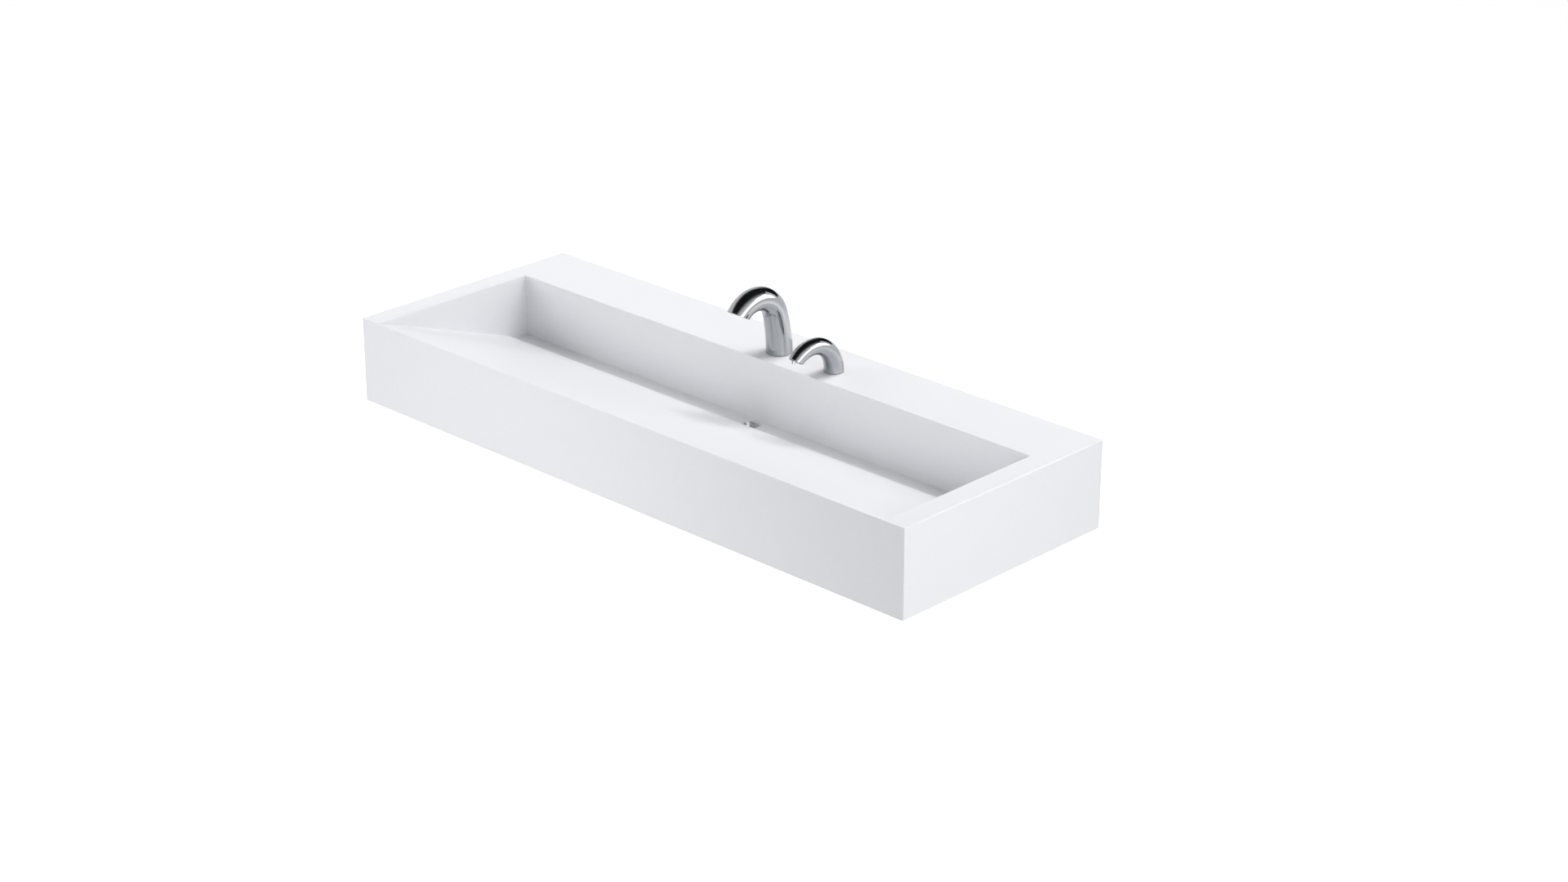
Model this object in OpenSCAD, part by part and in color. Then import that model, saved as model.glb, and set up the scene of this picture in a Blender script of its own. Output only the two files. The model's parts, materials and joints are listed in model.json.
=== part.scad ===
// Wall-hung trough sink fabricated from bonded solid-surface sheet, with a sensor tap
// and a soap spout on its ledge, steel wall brackets, and its controls behind the basin.
// Frame: +X to the right along the trough, +Y towards the wall, +Z up.
// Origin: on the wall's face, midway between the four wall bolts.

/* [Trough] */
// Overall length along the wall
sink_w = 1524; // [1400:1:1800]
// Overall depth from the wall to the front face
sink_d = 571.5; // [550:0.5:620]
// Height of the front and side aprons
sink_h = 187; // [184:1:210]
// Thickness of the solid-surface sheet
sheet_t = 12; // [11:0.5:13]
// Width of the flat rim at each end of the basin
side_rim = 51; // [40:1:80]
// Depth of the flat ledge behind the basin
rear_ledge = 158; // [156:1:175]
// Depth of the channel floor below the rim
channel_depth = 137; // [130:1:138]
// Clear width of the channel, from the foot of the nose to the back wall
channel_w = 39; // [34:1:46]
// Radius of the nose where the slope rolls over into the channel
nose_r = 50; // [42:1:60]
// Height that the foot of the nose lies below the slope's own line
nose_drop = 5.6; // [4.5:0.1:7]
// Length of the channel floor that runs on under the slope's toe
floor_lap = 10; // [6:1:14]

/* [Wall brackets] */
// Distance between the left and right columns of wall bolts
bolt_span = 914; // [860:1:960]
// Height between the lower and the upper wall bolts
bolt_rise = 100; // [80:1:104]
// Height of the lower wall bolts above the apron's bottom edge
bolt_low = 38; // [32:1:42]
// Radius of each wall bolt hole
bolt_hole_r = 5.5; // [4.5:0.5:7]
// Thickness of the bracket's steel plate
bracket_t = 6; // [5:0.5:7]
// Width of the bracket's wall plate
wall_plate_w = 60; // [54:1:70]
// Distance from the front face to the front end of each bracket
bracket_front = 70; // [60:1:110]
// Depth of the bracket's web at its front end
web_tip = 25; // [18:1:32]
// Width of the sloping flange that carries the basin's slope
flange_w = 40; // [34:1:50]
// Thickness of the sloping flange
flange_t = 5; // [4:0.5:6]
// Thickness of the rubber pad between the flange and the slope
pad_t = 3; // [2:0.5:4]
// Depth of the cross tube under the ledge
ledge_tube_d = 30; // [25:1:36]
// Height of the cross tube under the ledge
ledge_tube_h = 15; // [12:1:18]
// Side of the square tube bonded inside the front apron
stiffener_s = 25; // [20:1:30]
// Wall of both steel tubes
tube_wall = 2; // [1.5:0.5:2.5]

/* [Slope screws] */
// Radius of the screw that holds a flange to the slope
slope_screw_r = 3; // [2.5:0.5:3.5]
// Outer radius of the brass insert that takes the screw
insert_r = 4.5; // [4.5:0.5:5.5]
// Depth of the insert in the sheet
insert_len = 8; // [6:0.5:9]
// Distance of the first and last screw from the ends of the flange
screw_inset = 30; // [20:1:50]

/* [Tap] */
// Distance from the wall to the centre of the tap and the soap spout
tap_y = 102; // [98:1:104]
// Radius of the tap at its base
tap_base_r = 28; // [26:0.5:30]
// Radius of the tap at its outlet
tap_tip_r = 24; // [22:0.5:26]
// Radius of the tall, nearly straight lower bend
tap_rise_r = 320; // [280:5:360]
// Angle of the lower bend
tap_rise_a = 16; // [12:1:20]
// Radius of the upper bend
tap_bend_r = 62; // [56:1:70]
// Angle below level at which the tap's path ends
tap_end_a = 50; // [40:1:58]
// Wall of the tap's casting
tap_wall = 3; // [2.5:0.5:4]
// Radius of the tap's threaded shank
tap_shank_r = 14; // [12:0.5:15]
// Radius of the tap hole in the ledge
tap_hole_r = 17.5; // [16.5:0.5:19]
// Radius of the aerator's housing
aerator_r = 10.5; // [9:0.5:11]
// Radius of the sensor's lens
sensor_r = 4; // [3:0.5:4.5]

/* [Soap] */
// Distance from the tap to the soap spout
soap_x = 152; // [130:1:170]
// Radius of the soap spout at its base
soap_base_r = 21; // [20:0.5:23]
// Radius of the soap spout at its outlet
soap_tip_r = 15.5; // [14:0.5:17]
// Height of the soap spout's straight foot
soap_rise = 4; // [3:0.5:10]
// Radius of the soap spout's bend
soap_bend_r = 66; // [60:1:72]
// Angle below level at which the soap spout's path ends
soap_end_a = 44; // [36:1:52]
// Wall of the soap spout's casting
soap_wall = 2.5; // [2:0.5:3]
// Radius of the lens of the soap spout's sensor
soap_sensor_r = 3; // [2.5:0.5:3.5]
// Radius of the soap nozzle
nozzle_r = 3.5; // [3:0.5:4.5]
// Length of the nozzle that stands out of the outlet
nozzle_out = 6; // [4:0.5:8]
// Radius of the soap spout's threaded shank
soap_shank_r = 11; // [9:0.5:11.5]
// Radius of the soap hole in the ledge
soap_hole_r = 14; // [13:0.5:15]
// Radius of the pump's housing
pump_r = 30; // [26:1:34]
// Height of the pump's housing
pump_h = 34; // [30:1:38]
// Radius of the soap bottle
bottle_r = 39; // [34:1:40]
// Height of the soap bottle's body
bottle_h = 100; // [80:1:104]
// Radius of the bottle's neck
bottle_neck_r = 18; // [15:1:20]
// Wall of the soap bottle
bottle_wall = 2; // [1.5:0.5:2.5]

/* [Deck fixings] */
// Thickness of the rubber gasket in the foot of the tap and the soap spout
gasket_t = 2; // [1.5:0.5:3]
// Thickness of the clamping washer under the ledge
washer_t = 3; // [2:0.5:4]
// Height of the shank nut
nut_h = 9; // [7:0.5:11]

/* [Drain] */
// Distance from the back wall of the basin to the drain's centre
drain_in = 28.5; // [26:0.5:30]
// Radius of the drain's flange
drain_flange_r = 20.5; // [19.5:0.5:22]
// Thickness of the drain's flange
drain_flange_t = 2.5; // [2:0.5:3]
// Radius of the drain's threaded body
drain_body_r = 18.1; // [17.9:0.1:18.4]
// Radius of the tailpiece, a 1-1/4 inch tube
tail_r = 15.875; // [15.5:0.125:16]
// Extra radius of the tailpiece's swaged upper end
tail_swage = 0.6; // [0.5:0.1:0.8]
// Wall of the tailpiece
tail_wall = 1.2; // [1:0.1:1.6]
// Length of the tailpiece below the drain's body
tail_len = 75; // [60:1:100]
// Depth of the strainer's seat below the channel floor
strainer_drop = 7; // [5:0.5:9]
// Thickness of the strainer's plate
strainer_t = 2; // [1.5:0.5:2.5]

/* [Service panel] */
// Height of the service panel above the apron's bottom edge
panel_up = 4.7; // [4.5:0.1:6]
// Thickness of the panel's sheet
panel_t = 1.5; // [1.2:0.1:2]
// Width of the panel in front of the cavity, under the channel
panel_lap = 14; // [13:1:16]
// Height of the panel's upturned front lip
lip_h = 8; // [6:0.5:9]
// Thickness of each hinge leaf
leaf_t = 1.2; // [1:0.1:1.5]
// Gap between the closed hinge leaves
leaf_gap = 1.4; // [1.2:0.1:1.8]
// Outer radius of the hinge knuckles
knuckle_r = 2.6; // [2.4:0.1:2.8]
// Radius of the hinge pin
pin_r = 1.5; // [1.2:0.1:1.6]
// Length of one hinge
hinge_len = 40; // [36:1:60]
// Distance between neighbouring hinges
hinge_pitch = 500; // [420:10:600]
// Thickness of the hinge rail
rail_t = 4; // [3:0.5:5]
// Distance from the trough's middle to each cam lock
lock_x = 300; // [240:1:340]
// Radius of the cam lock's barrel
lock_r = 8; // [7:0.5:8.5]
// Reach of the cam from the lock's axis
cam_reach = 16.5; // [15.5:0.5:17.5]
// Length of each keeper
keeper_len = 120; // [80:1:140]

/* [Controls] */
// Distance from the trough's middle to the control box's middle
box_x = 312; // [300:1:330]
// Width of the control box
box_w = 120; // [100:1:130]
// Depth of the control box
box_d = 50; // [42:1:52]
// Height of the control box
box_h = 76; // [66:1:78]
// Wall of the control box
box_wall = 2.5; // [2:0.5:3]
// Height of the control box's mouth above the apron's bottom edge
box_up = 68; // [66:1:70]
// Thickness of the plate that carries the controls
plate_t = 2; // [1.5:0.5:3]
// Distance from the trough's middle to the solenoid valve
valve_x = 205; // [200:1:210]
// Radius of the solenoid valve's body
valve_r = 13; // [12:0.5:14]
// Radius of the solenoid's coil
coil_r = 15; // [13:0.5:16]
// Radius of the solenoid's plunger
plunger_r = 5; // [4:0.5:5.5]
// Travel of the solenoid's plunger
plunger_stroke = 2; // [1.5:0.5:3]
// Distance from the trough's middle to the mixing valve
mixer_x = 118; // [114:1:122]
// Radius of the mixing valve's body
mixer_r = 15; // [14:0.5:16]
// Length of the mixing valve's body beyond the inlet collar at each end
mixer_end = 1; // [0.5:0.5:3]
// Radius of the threaded supply inlets, a half-inch pipe thread
inlet_r = 10.48; // [10:0.02:10.6]
// Radius of the collar above each inlet's thread
collar_r = 12.5; // [12:0.5:13.5]
// Length of each supply inlet
inlet_len = 18; // [14:1:20]
// Distance between the hot and cold inlets
inlet_gap = 46; // [44:1:48]
// Radius of the mixing knob
knob_r = 13; // [11:0.5:15]

/* [Clearances] */
// Radial running clearance of pins, spindles and barrels
run_gap = 0.05; // [0.03:0.01:0.08]
// Gap between pieces that move past each other
move_gap = 0.4; // [0.3:0.05:0.6]
// Radial clearance of a screw or thread in its hole
hole_gap = 0.4; // [0.3:0.05:0.6]

/* [Hidden] */
$fn = 64;
eps = 0.01;

// Heights and planes of the trough
z_bot = -(bolt_low + bolt_rise / 2);
z_top = z_bot + sink_h;
z_deck = z_top - sheet_t;
z_floor = z_top - channel_depth;
z_under = z_floor - sheet_t;
y_front = -sink_d;
y_back = -rear_ledge;
y_cavity = y_back + sheet_t;
x_basin = sink_w / 2 - side_rim;
x_apron = sink_w / 2 - sheet_t;

stiffener_up = 8;
tube_end_gap = 1;

// The slope: a straight run from the front edge, then the nose down to the channel floor
nose_d = sink_d - rear_ledge - channel_w;
slope_a = atan((channel_depth - nose_drop) / nose_d);
function slope_z(d, down) = z_top - d * tan(slope_a) - down / cos(slope_a);
nose_k = nose_r / cos(slope_a) - nose_drop;
nose_u = nose_k * sin(slope_a) * cos(slope_a)
    + pow(cos(slope_a), 2) * sqrt(pow(nose_r / cos(slope_a), 2) - pow(nose_k, 2));
nose_cy = y_front + nose_d - nose_u;
nose_cz = slope_z(nose_d - nose_u, nose_r);
nose_end_a = acos((z_floor - nose_cz) / nose_r);
toe_y = y_front + (channel_depth - sheet_t / cos(slope_a)) / tan(slope_a);
floor_y = toe_y - floor_lap;

// Upper outline of the nose, from the slope to the channel floor
nose_steps = 24;
nose_arc = [
    for (i = [0 : nose_steps])
        let (a = slope_a + (nose_end_a - slope_a) * i / nose_steps)
            [nose_cy + nose_r * sin(a), nose_cz + nose_r * cos(a)]
];

// Bracket places
bolt_x = bolt_span / 2;
web_x = bolt_x - wall_plate_w / 2;
z_rail = z_bot + panel_up + panel_t + 2 * leaf_t + leaf_gap;
z_bracket = z_rail + rail_t;
z_tube = z_deck - ledge_tube_h;
flange_short = 18;
flange_over = 4;
flange_down = sheet_t + pad_t;
flange_len = (floor_y - flange_short - (y_front + bracket_front)) / cos(slope_a);
web_down = flange_down + flange_t / 2;
web_front_d = bracket_front + flange_over;
web_rear_d = floor_y - flange_over - y_front;
web_heel = 8;
web_foot = 60;
tube_x = x_apron - tube_end_gap;
slope_screw_at = [screw_inset, flange_len - screw_inset];
slope_screw_side = 9;
slope_screw_off = bracket_t / 2 + slope_screw_side;
slope_screw_x = web_x + bracket_t / 2 + slope_screw_off;
slope_head_r = 1.8 * slope_screw_r;
slope_head_h = 3.5;
slope_socket_r = 0.75 * slope_screw_r;
slope_socket_h = 2;

// Drain places
drain_y = y_back - drain_in;
swage_r = tail_r + tail_swage;
drain_bore_r = swage_r + run_gap;
slip_nut_h = 16;
slip_thread = 9;
slip_lip = slip_nut_h - slip_thread;
drain_out = 6;
drain_bottom = z_bot - drain_out;
drain_gasket_t = 3;
drain_gasket_w = 8;
locknut_h = 8;
locknut_wall = 5;
slip_nut_wall = 2.4;
seat_w = 2.5;
seat_t = 2;
seat_r = drain_bore_r - seat_w;
z_seat = z_floor - strainer_drop;
strainer_hole_r = 1.6;
strainer_pitch = 5.4;
tail_in = 24;

// Service panel places
hinge_y = -9;
z_hinge = z_rail - leaf_t - leaf_gap / 2;
panel_y0 = y_cavity - panel_lap;
z_panel = z_bot + panel_up;
rail_y1 = -14;
rail_d = 20;
hinge_at = [-hinge_pitch, 0, hinge_pitch];
knuckle_w = hinge_len / 3;
panel_end_gap = 2;
panel_x = x_apron - panel_end_gap;
panel_hinge_gap = 1;
knuckle_lap = 2;
keeper_t = 2;
keeper_y = panel_y0 - keeper_t;
keeper_flange = 10.5;
keeper_foot = 16;
keeper_gap = 1.3;
z_keeper = z_panel + lip_h + keeper_gap;
z_cam = z_keeper + keeper_t + move_gap;
cam_t = 2.5;
lock_gap = 1.5;
lock_y = keeper_y + keeper_flange + lock_r + lock_gap;
lock_rim = 3;
lock_rim_h = 1.9;
lock_clip = 2;
lock_play = 0.1;
cam_w = 10;
cam_nut_r = 5.8;
cam_nut_h = 3.5;
lock_slot_l = 8;
lock_slot_w = 1.4;

// Control places
mixer_len = inlet_gap + 2 * (collar_r + mixer_end);
z_box = z_bot + box_up;
y_plate = y_cavity + plate_t;
y_box1 = y_plate + box_d;
door_t = 2.5;
door_r = 3;
door_y = y_box1 + door_r + move_gap;
ear_w = 8;
plate_up = 60;
plate_h = 92;
plate_edge = 2;
control_out = 26;
control_up = 100;
box_x0 = -box_x - box_w / 2;
box_x1 = -box_x + box_w / 2;
tab_w = 13;
tab_t = 3;
tab_h = 16;
tab_z = z_box + box_h / 2;
box_screw_r = 2;
box_head_r = 3.8;
box_head_h = 2.2;
box_screw_x = [box_x0 - tab_w / 2, box_x1 + tab_w / 2];
plate_x0 = box_x0 - tab_w - plate_edge / 2;
plate_x1 = -(mixer_x - mixer_len / 2 - plate_edge);
z_plate0 = z_bot + plate_up;
z_plate1 = z_plate0 + plate_h;
battery_w = 82;
battery_d = 30;
battery_up = 8;
board_back = 34;
board_t = 1.6;
board_up = 10;
door_gap = 0.5;

// Solenoid valve
valve_y = y_plate + control_out;
z_valve = z_bot + control_up;
valve_h = 44;
valve_foot = [18, 24];
port_span = 72;
port_r = 8;
port_bore_r = 5;
port_depth = 20;
sleeve_r = plunger_r + 2;
sleeve_y0 = valve_y + 6;
sleeve_len = 32;
sleeve_end = 2;
coil_y0 = valve_y + valve_r + 0.3;
coil_cap = 1;

// Mixing valve
mixer_y = y_plate + control_out;
z_mixer = z_bot + control_up;
mixer_foot = [24, 20];
mixer_port = 16;
inlet_wall = 3;
inlet_depth = 11;
spindle_r = 4;
spindle_len = 12;
collar_h = 6;
z_inlet = z_mixer - mixer_r - collar_h - inlet_len;
mixer_x0 = -mixer_x - mixer_len / 2;
mixer_x1 = -mixer_x + mixer_len / 2;
knob_len = 14;
flute_r = 3;
flute_out = 1.5;
flute_start = 3;
flutes = 8;

// Tap and soap spout
outlet_tilt = 12;
lean_from = 0.8;
path_steps = 8;
bore_sides = 20;
foot_h = 8;
weld = 0.5;
plate_set = 1.5;
outlet_plate_t = 3;
outlet_cut = 12;
plate_margin = 4.5;
lens_gap = 1.5;
lens_out = 0.4;
aerator_len = 11;
aerator_wall = 1.8;
aerator_step = 2.5;
mesh_t = 1;
mesh_hole_r = 0.9;
nozzle_wall = 1.5;
nozzle_in = 8;
nozzle_margin = 4;
shank_wall = 4;
soap_shank_wall = 3;
tap_shank_len = 40;

tap_path = neck_path(0, tap_rise_r, tap_rise_a, tap_bend_r, tap_end_a, path_steps);
tap_end = tap_path[len(tap_path) - 1];
tap_plate_r = tap_tip_r - tap_wall;
aerator_off = tap_plate_r - aerator_r - plate_margin;
sensor_off = aerator_off - aerator_r - sensor_r - lens_gap;

soap_path = neck_path(soap_rise, soap_bend_r, 0.5, soap_bend_r, soap_end_a, path_steps);
soap_end = soap_path[len(soap_path) - 1];
soap_plate_r = soap_tip_r - soap_wall;
nozzle_off = soap_plate_r - nozzle_r - nozzle_margin;
soap_sensor_off = nozzle_off - nozzle_r - soap_sensor_r - lens_gap;

// Under-deck stack of the soap pump
washer_over = 2;
nut_wall = 7;
soap_nut_wall = 6;
wing_out = 10;
wing_w = 4;
pump_drop = 2;
pump_thread = 12;
z_pump1 = z_deck - washer_t - nut_h - pump_drop;
z_pump0 = z_pump1 - pump_h;
bottle_gap = move_gap;
neck_h = 10;
z_bottle1 = z_pump0 - bottle_gap;
z_bottle0 = z_bottle1 - bottle_h;
foot_chamfer = 4;
shoulder_h = 12;
neck_root = 2;
shoulder_z = bottle_h - shoulder_h - neck_root;
lug_r = bottle_neck_r + 1.6;
lug_h = 2.5;
lug_w = 12;
lug_slot = 14;
lug_up = neck_h - 4;
dip_r = 3;
dip_wall = 1;
dip_up = 12;

// Extrudes a profile of [y, z] points along +X
module along_x(x0, len) {
    translate([x0, 0, 0])
        rotate([90, 0, 90])
            linear_extrude(len)
                children();
}

// Extrudes a profile of [x, z] points from y1 back to y1 - len
module along_y(y1, len) {
    translate([0, y1, 0])
        rotate([90, 0, 0])
            linear_extrude(len)
                children();
}

// A box from its lowest to its highest corner
module block(lo, hi) {
    translate(lo)
        cube([hi[0] - lo[0], hi[1] - lo[1], hi[2] - lo[2]]);
}

// A tube along +Z
module ring(r_out, r_in, h) {
    difference() {
        cylinder(r = r_out, h = h);
        translate([0, 0, -1])
            cylinder(r = r_in, h = h + 2);
    }
}

// A hexagonal nut along +Z, with the given distance across its flats
module hex_nut(across, r_in, h) {
    difference() {
        cylinder(r = across / sqrt(3), h = h, $fn = 6);
        translate([0, 0, -1])
            cylinder(r = r_in, h = h + 2);
    }
}

// Places its children on the slope's upper face, with +Y down the slope and +Z square to it
module on_slope(x, d) {
    translate([x, y_front + d, slope_z(d, 0)])
        rotate([-slope_a, 0, 0])
            children();
}

// ---------------------------------------------------------------- bonded sheets

module deck_sheet() {
    color("whitesmoke")
        difference() {
            intersection() {
                along_x(-sink_w / 2, sink_w)
                    polygon([
                        [y_front, z_top], [0, z_top], [0, z_deck], [y_front + sheet_t, z_deck]
                    ]);
                along_y(0, sink_d)
                    polygon([
                        [-sink_w / 2, z_top], [-x_apron, z_deck],
                        [x_apron, z_deck], [sink_w / 2, z_top]
                    ]);
            }
            block([-x_basin, y_front - 1, z_deck - 1], [x_basin, y_back, z_top + 1]);
            translate([0, -tap_y, z_deck - 1])
                cylinder(r = tap_hole_r, h = sheet_t + 2);
            translate([soap_x, -tap_y, z_deck - 1])
                cylinder(r = soap_hole_r, h = sheet_t + 2);
        }
}

module slope_sheet() {
    color("white")
        difference() {
            along_x(-x_basin, 2 * x_basin)
                polygon(concat(
                    [[y_front, z_top]],
                    nose_arc,
                    [[toe_y, z_floor], [y_front + sheet_t, slope_z(sheet_t, sheet_t)]]
                ));
            translate([0, drain_y, z_floor - 1])
                cylinder(r = drain_flange_r + hole_gap, h = nose_r / 2);
            for (x = [-slope_screw_x, slope_screw_x], d = slope_screw_at)
                on_slope(x, bracket_front)
                    translate([0, d, -sheet_t - eps])
                        cylinder(r = insert_r, h = insert_len + eps);
        }
}

module basin_back() {
    color("gainsboro")
        block([-x_basin - sheet_t, y_back, z_floor], [x_basin + sheet_t, y_cavity, z_deck]);
}

module basin_side() {
    color("gainsboro")
        block([x_basin, y_front + sheet_t, z_under], [x_basin + sheet_t, y_back, z_deck]);
}

module basin_left() {
    mirror([1, 0, 0])
        basin_side();
}

module basin_right() {
    basin_side();
}

module channel_floor() {
    color("gainsboro")
        difference() {
            block([-x_basin, floor_y, z_under], [x_basin, y_cavity, z_floor]);
            translate([0, drain_y, z_under - 1])
                cylinder(r = drain_body_r + hole_gap, h = sheet_t + 2);
            translate([0, drain_y, z_floor - drain_flange_t])
                cylinder(r = drain_flange_r + hole_gap, h = drain_flange_t + 1);
        }
}

module front_apron() {
    color("whitesmoke")
        difference() {
            intersection() {
                along_x(-sink_w / 2, sink_w)
                    polygon([
                        [y_front, z_bot], [y_front, z_top],
                        [y_front + sheet_t, z_deck], [y_front + sheet_t, z_bot]
                    ]);
                translate([0, 0, z_bot])
                    linear_extrude(sink_h)
                        polygon([
                            [-sink_w / 2, y_front], [sink_w / 2, y_front],
                            [x_apron, y_front + sheet_t], [-x_apron, y_front + sheet_t]
                        ]);
            }
            along_x(-x_basin, 2 * x_basin)
                polygon([
                    [y_front, z_top], [y_front + sheet_t, slope_z(sheet_t, sheet_t)],
                    [y_front + sheet_t + 1, slope_z(sheet_t, sheet_t)],
                    [y_front + sheet_t + 1, z_top]
                ]);
        }
}

module side_apron() {
    color("whitesmoke")
        intersection() {
            along_y(0, sink_d)
                polygon([
                    [sink_w / 2, z_bot], [sink_w / 2, z_top], [x_apron, z_deck], [x_apron, z_bot]
                ]);
            translate([0, 0, z_bot])
                linear_extrude(sink_h)
                    polygon([
                        [sink_w / 2, y_front], [sink_w / 2, 0],
                        [x_apron, 0], [x_apron, y_front + sheet_t]
                    ]);
        }
}

module left_apron() {
    mirror([1, 0, 0])
        side_apron();
}

module right_apron() {
    side_apron();
}

// ---------------------------------------------------------------- steelwork

module bracket_right() {
    color("dimgray")
        difference() {
            union() {
                block([web_x, -bracket_t, z_bracket], [web_x + wall_plate_w, 0, z_tube]);
                along_x(web_x, bracket_t)
                    polygon([
                        [-eps, z_bracket], [-eps, z_tube], [-bracket_t - ledge_tube_d, z_tube],
                        [y_cavity + web_heel, z_under], [y_front + web_rear_d, z_under],
                        [y_front + web_rear_d, slope_z(web_rear_d, web_down + flange_t / 2)],
                        [y_front + web_front_d, slope_z(web_front_d, web_down)],
                        [y_front + web_front_d, slope_z(web_front_d, web_down) - web_tip],
                        [floor_y - web_foot, z_bracket]
                    ]);
                on_slope(web_x + bracket_t / 2, bracket_front)
                    block(
                        [-flange_w / 2, 0, -flange_down - flange_t],
                        [flange_w / 2, flange_len, -flange_down]
                    );
            }
            for (z = [-bolt_rise / 2, bolt_rise / 2])
                translate([bolt_x, 1, z])
                    rotate([90, 0, 0])
                        cylinder(r = bolt_hole_r, h = bracket_t + 2);
            for (d = slope_screw_at)
                on_slope(slope_screw_x, bracket_front)
                    translate([0, d, -flange_down - flange_t - 1])
                        cylinder(r = slope_screw_r + hole_gap, h = flange_t + 2);
        }
}

module bracket_left() {
    mirror([1, 0, 0])
        bracket_right();
}

// Both brackets' copies of a piece that lies on the right-hand flange
module both_flanges() {
    for (side = [0, 1])
        mirror([side, 0, 0])
            on_slope(web_x + bracket_t / 2, bracket_front)
                children();
}

module ledge_tube() {
    color("dimgray")
        along_x(-tube_x, 2 * tube_x)
            translate([-bracket_t - ledge_tube_d, z_tube])
                difference() {
                    square([ledge_tube_d, ledge_tube_h]);
                    translate([tube_wall, tube_wall])
                        square([ledge_tube_d - 2 * tube_wall, ledge_tube_h - 2 * tube_wall]);
                }
}

module apron_stiffener() {
    color("dimgray")
        along_x(-tube_x, 2 * tube_x)
            translate([y_front + sheet_t, z_bot + stiffener_up])
                difference() {
                    square(stiffener_s);
                    translate([tube_wall, tube_wall])
                        square(stiffener_s - 2 * tube_wall);
                }
}

module slope_pads() {
    color("black")
        both_flanges()
            difference() {
                block([-flange_w / 2, 0, -flange_down], [flange_w / 2, flange_len, -sheet_t]);
                for (d = slope_screw_at)
                    translate([slope_screw_off, d, -flange_down - 1])
                        cylinder(r = slope_screw_r + hole_gap, h = pad_t + 2);
            }
}

module slope_screws() {
    color("silver")
        both_flanges()
            for (d = slope_screw_at)
                translate([slope_screw_off, d, -flange_down - flange_t - slope_head_h])
                    difference() {
                        union() {
                            cylinder(r = slope_head_r, h = slope_head_h);
                            cylinder(
                                r = slope_screw_r,
                                h = slope_head_h + flange_t + pad_t + insert_len - 1
                            );
                        }
                        translate([0, 0, -1])
                            cylinder(r = slope_socket_r, h = slope_socket_h + 1, $fn = 6);
                    }
}

module slope_inserts() {
    color("goldenrod")
        both_flanges()
            for (d = slope_screw_at)
                translate([slope_screw_off, d, -sheet_t])
                    ring(insert_r, slope_screw_r + run_gap, insert_len);
}

// ---------------------------------------------------------------- tap and soap spout

// A gooseneck's path: a straight foot, a wide lower bend, then a tight upper bend.
// Each entry is [forward, up, heading], with the heading in degrees above level.
function neck_path(foot, r1, a1, r2, a_end, n) =
    let (
        p1 = [r1 * (1 - cos(a1)), foot + r1 * sin(a1)],
        h1 = 90 - a1,
        c2 = p1 + r2 * [sin(h1), -cos(h1)]
    )
    concat(
        [[0, 0, 90]],
        [
            for (i = [1 : n])
                let (a = a1 * i / n)
                    [r1 * (1 - cos(a)), foot + r1 * sin(a), 90 - a]
        ],
        [
            for (i = [1 : 3 * n])
                let (h = h1 - (h1 + a_end) * i / (3 * n))
                    [c2[0] - r2 * sin(h), c2[1] + r2 * cos(h), h]
        ]
    );

// The share of a path's length that lies before each of its points
function run_of(path, i) =
    i == 0 ? 0
        : run_of(path, i - 1)
            + norm([path[i][0] - path[i - 1][0], path[i][1] - path[i - 1][1]]);

// A round, tapering tube along a path. Its last rings lean over by tilt, so that the
// outlet faces further down than the path does; over lengthens both ends.
module neck(path, r0, r1, tilt, over, sides = 32) {
    last = len(path) - 1;
    total = run_of(path, last);
    pts = [
        for (i = [0 : last])
            let (
                share = run_of(path, i) / total,
                lean = tilt * pow(max(0, (share - lean_from) / (1 - lean_from)), 2),
                h = path[i][2],
                face = h - lean,
                r = r0 + (r1 - r0) * share,
                reach = i == 0 ? -over : (i == last ? over : 0),
                s = path[i][0] + reach * cos(h),
                z = path[i][1] + reach * sin(h)
            )
            for (j = [0 : sides - 1])
                let (a = 360 * j / sides)
                    [r * cos(a), -s + r * sin(a) * sin(face), z + r * sin(a) * cos(face)]
    ];
    skin = [
        for (i = [0 : last - 1], j = [0 : sides - 1])
            let (
                a = i * sides + j,
                b = i * sides + (j + 1) % sides
            )
            for (f = [[a, a + sides, b + sides], [a, b + sides, b]])
                f
    ];
    polyhedron(
        points = pts,
        faces = concat(
            skin,
            [[for (j = [0 : sides - 1]) j]],
            [[for (j = [sides - 1 : -1 : 0]) last * sides + j]]
        )
    );
}

// Places its children at the centre of an outlet, with +Z out of it
module on_outlet(x, end, angle) {
    translate([x, -tap_y - end[0], z_top + end[1]])
        rotate([90 + angle + outlet_tilt, 0, 0])
            children();
}

module on_ledge(x) {
    translate([x, -tap_y, z_top])
        children();
}

module tap_body() {
    color("silver") {
        difference() {
            on_ledge(0)
                neck(tap_path, tap_base_r, tap_tip_r, outlet_tilt, 0);
            on_ledge(0)
                neck(tap_path, tap_base_r - tap_wall, tap_plate_r, outlet_tilt, 1, bore_sides);
            on_outlet(0, tap_end, tap_end_a)
                translate([0, 0, -plate_set - outlet_plate_t])
                    cylinder(r = tap_plate_r, h = outlet_cut);
        }
        on_ledge(0)
            translate([0, 0, gasket_t])
                ring(tap_base_r - tap_wall + weld, tap_shank_r, foot_h);
    }
}

module tap_gasket() {
    color("black")
        on_ledge(0)
            ring(tap_base_r - tap_wall - 2 * hole_gap, tap_shank_r, gasket_t);
}

module tap_outlet_plate() {
    color("slategray")
        on_outlet(0, tap_end, tap_end_a)
            translate([0, 0, -plate_set - outlet_plate_t])
                difference() {
                    cylinder(r = tap_plate_r, h = outlet_plate_t);
                    translate([0, aerator_off, -1])
                        cylinder(r = aerator_r, h = outlet_plate_t + 2);
                    translate([0, sensor_off, -1])
                        cylinder(r = sensor_r, h = outlet_plate_t + 2);
                }
}

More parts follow.
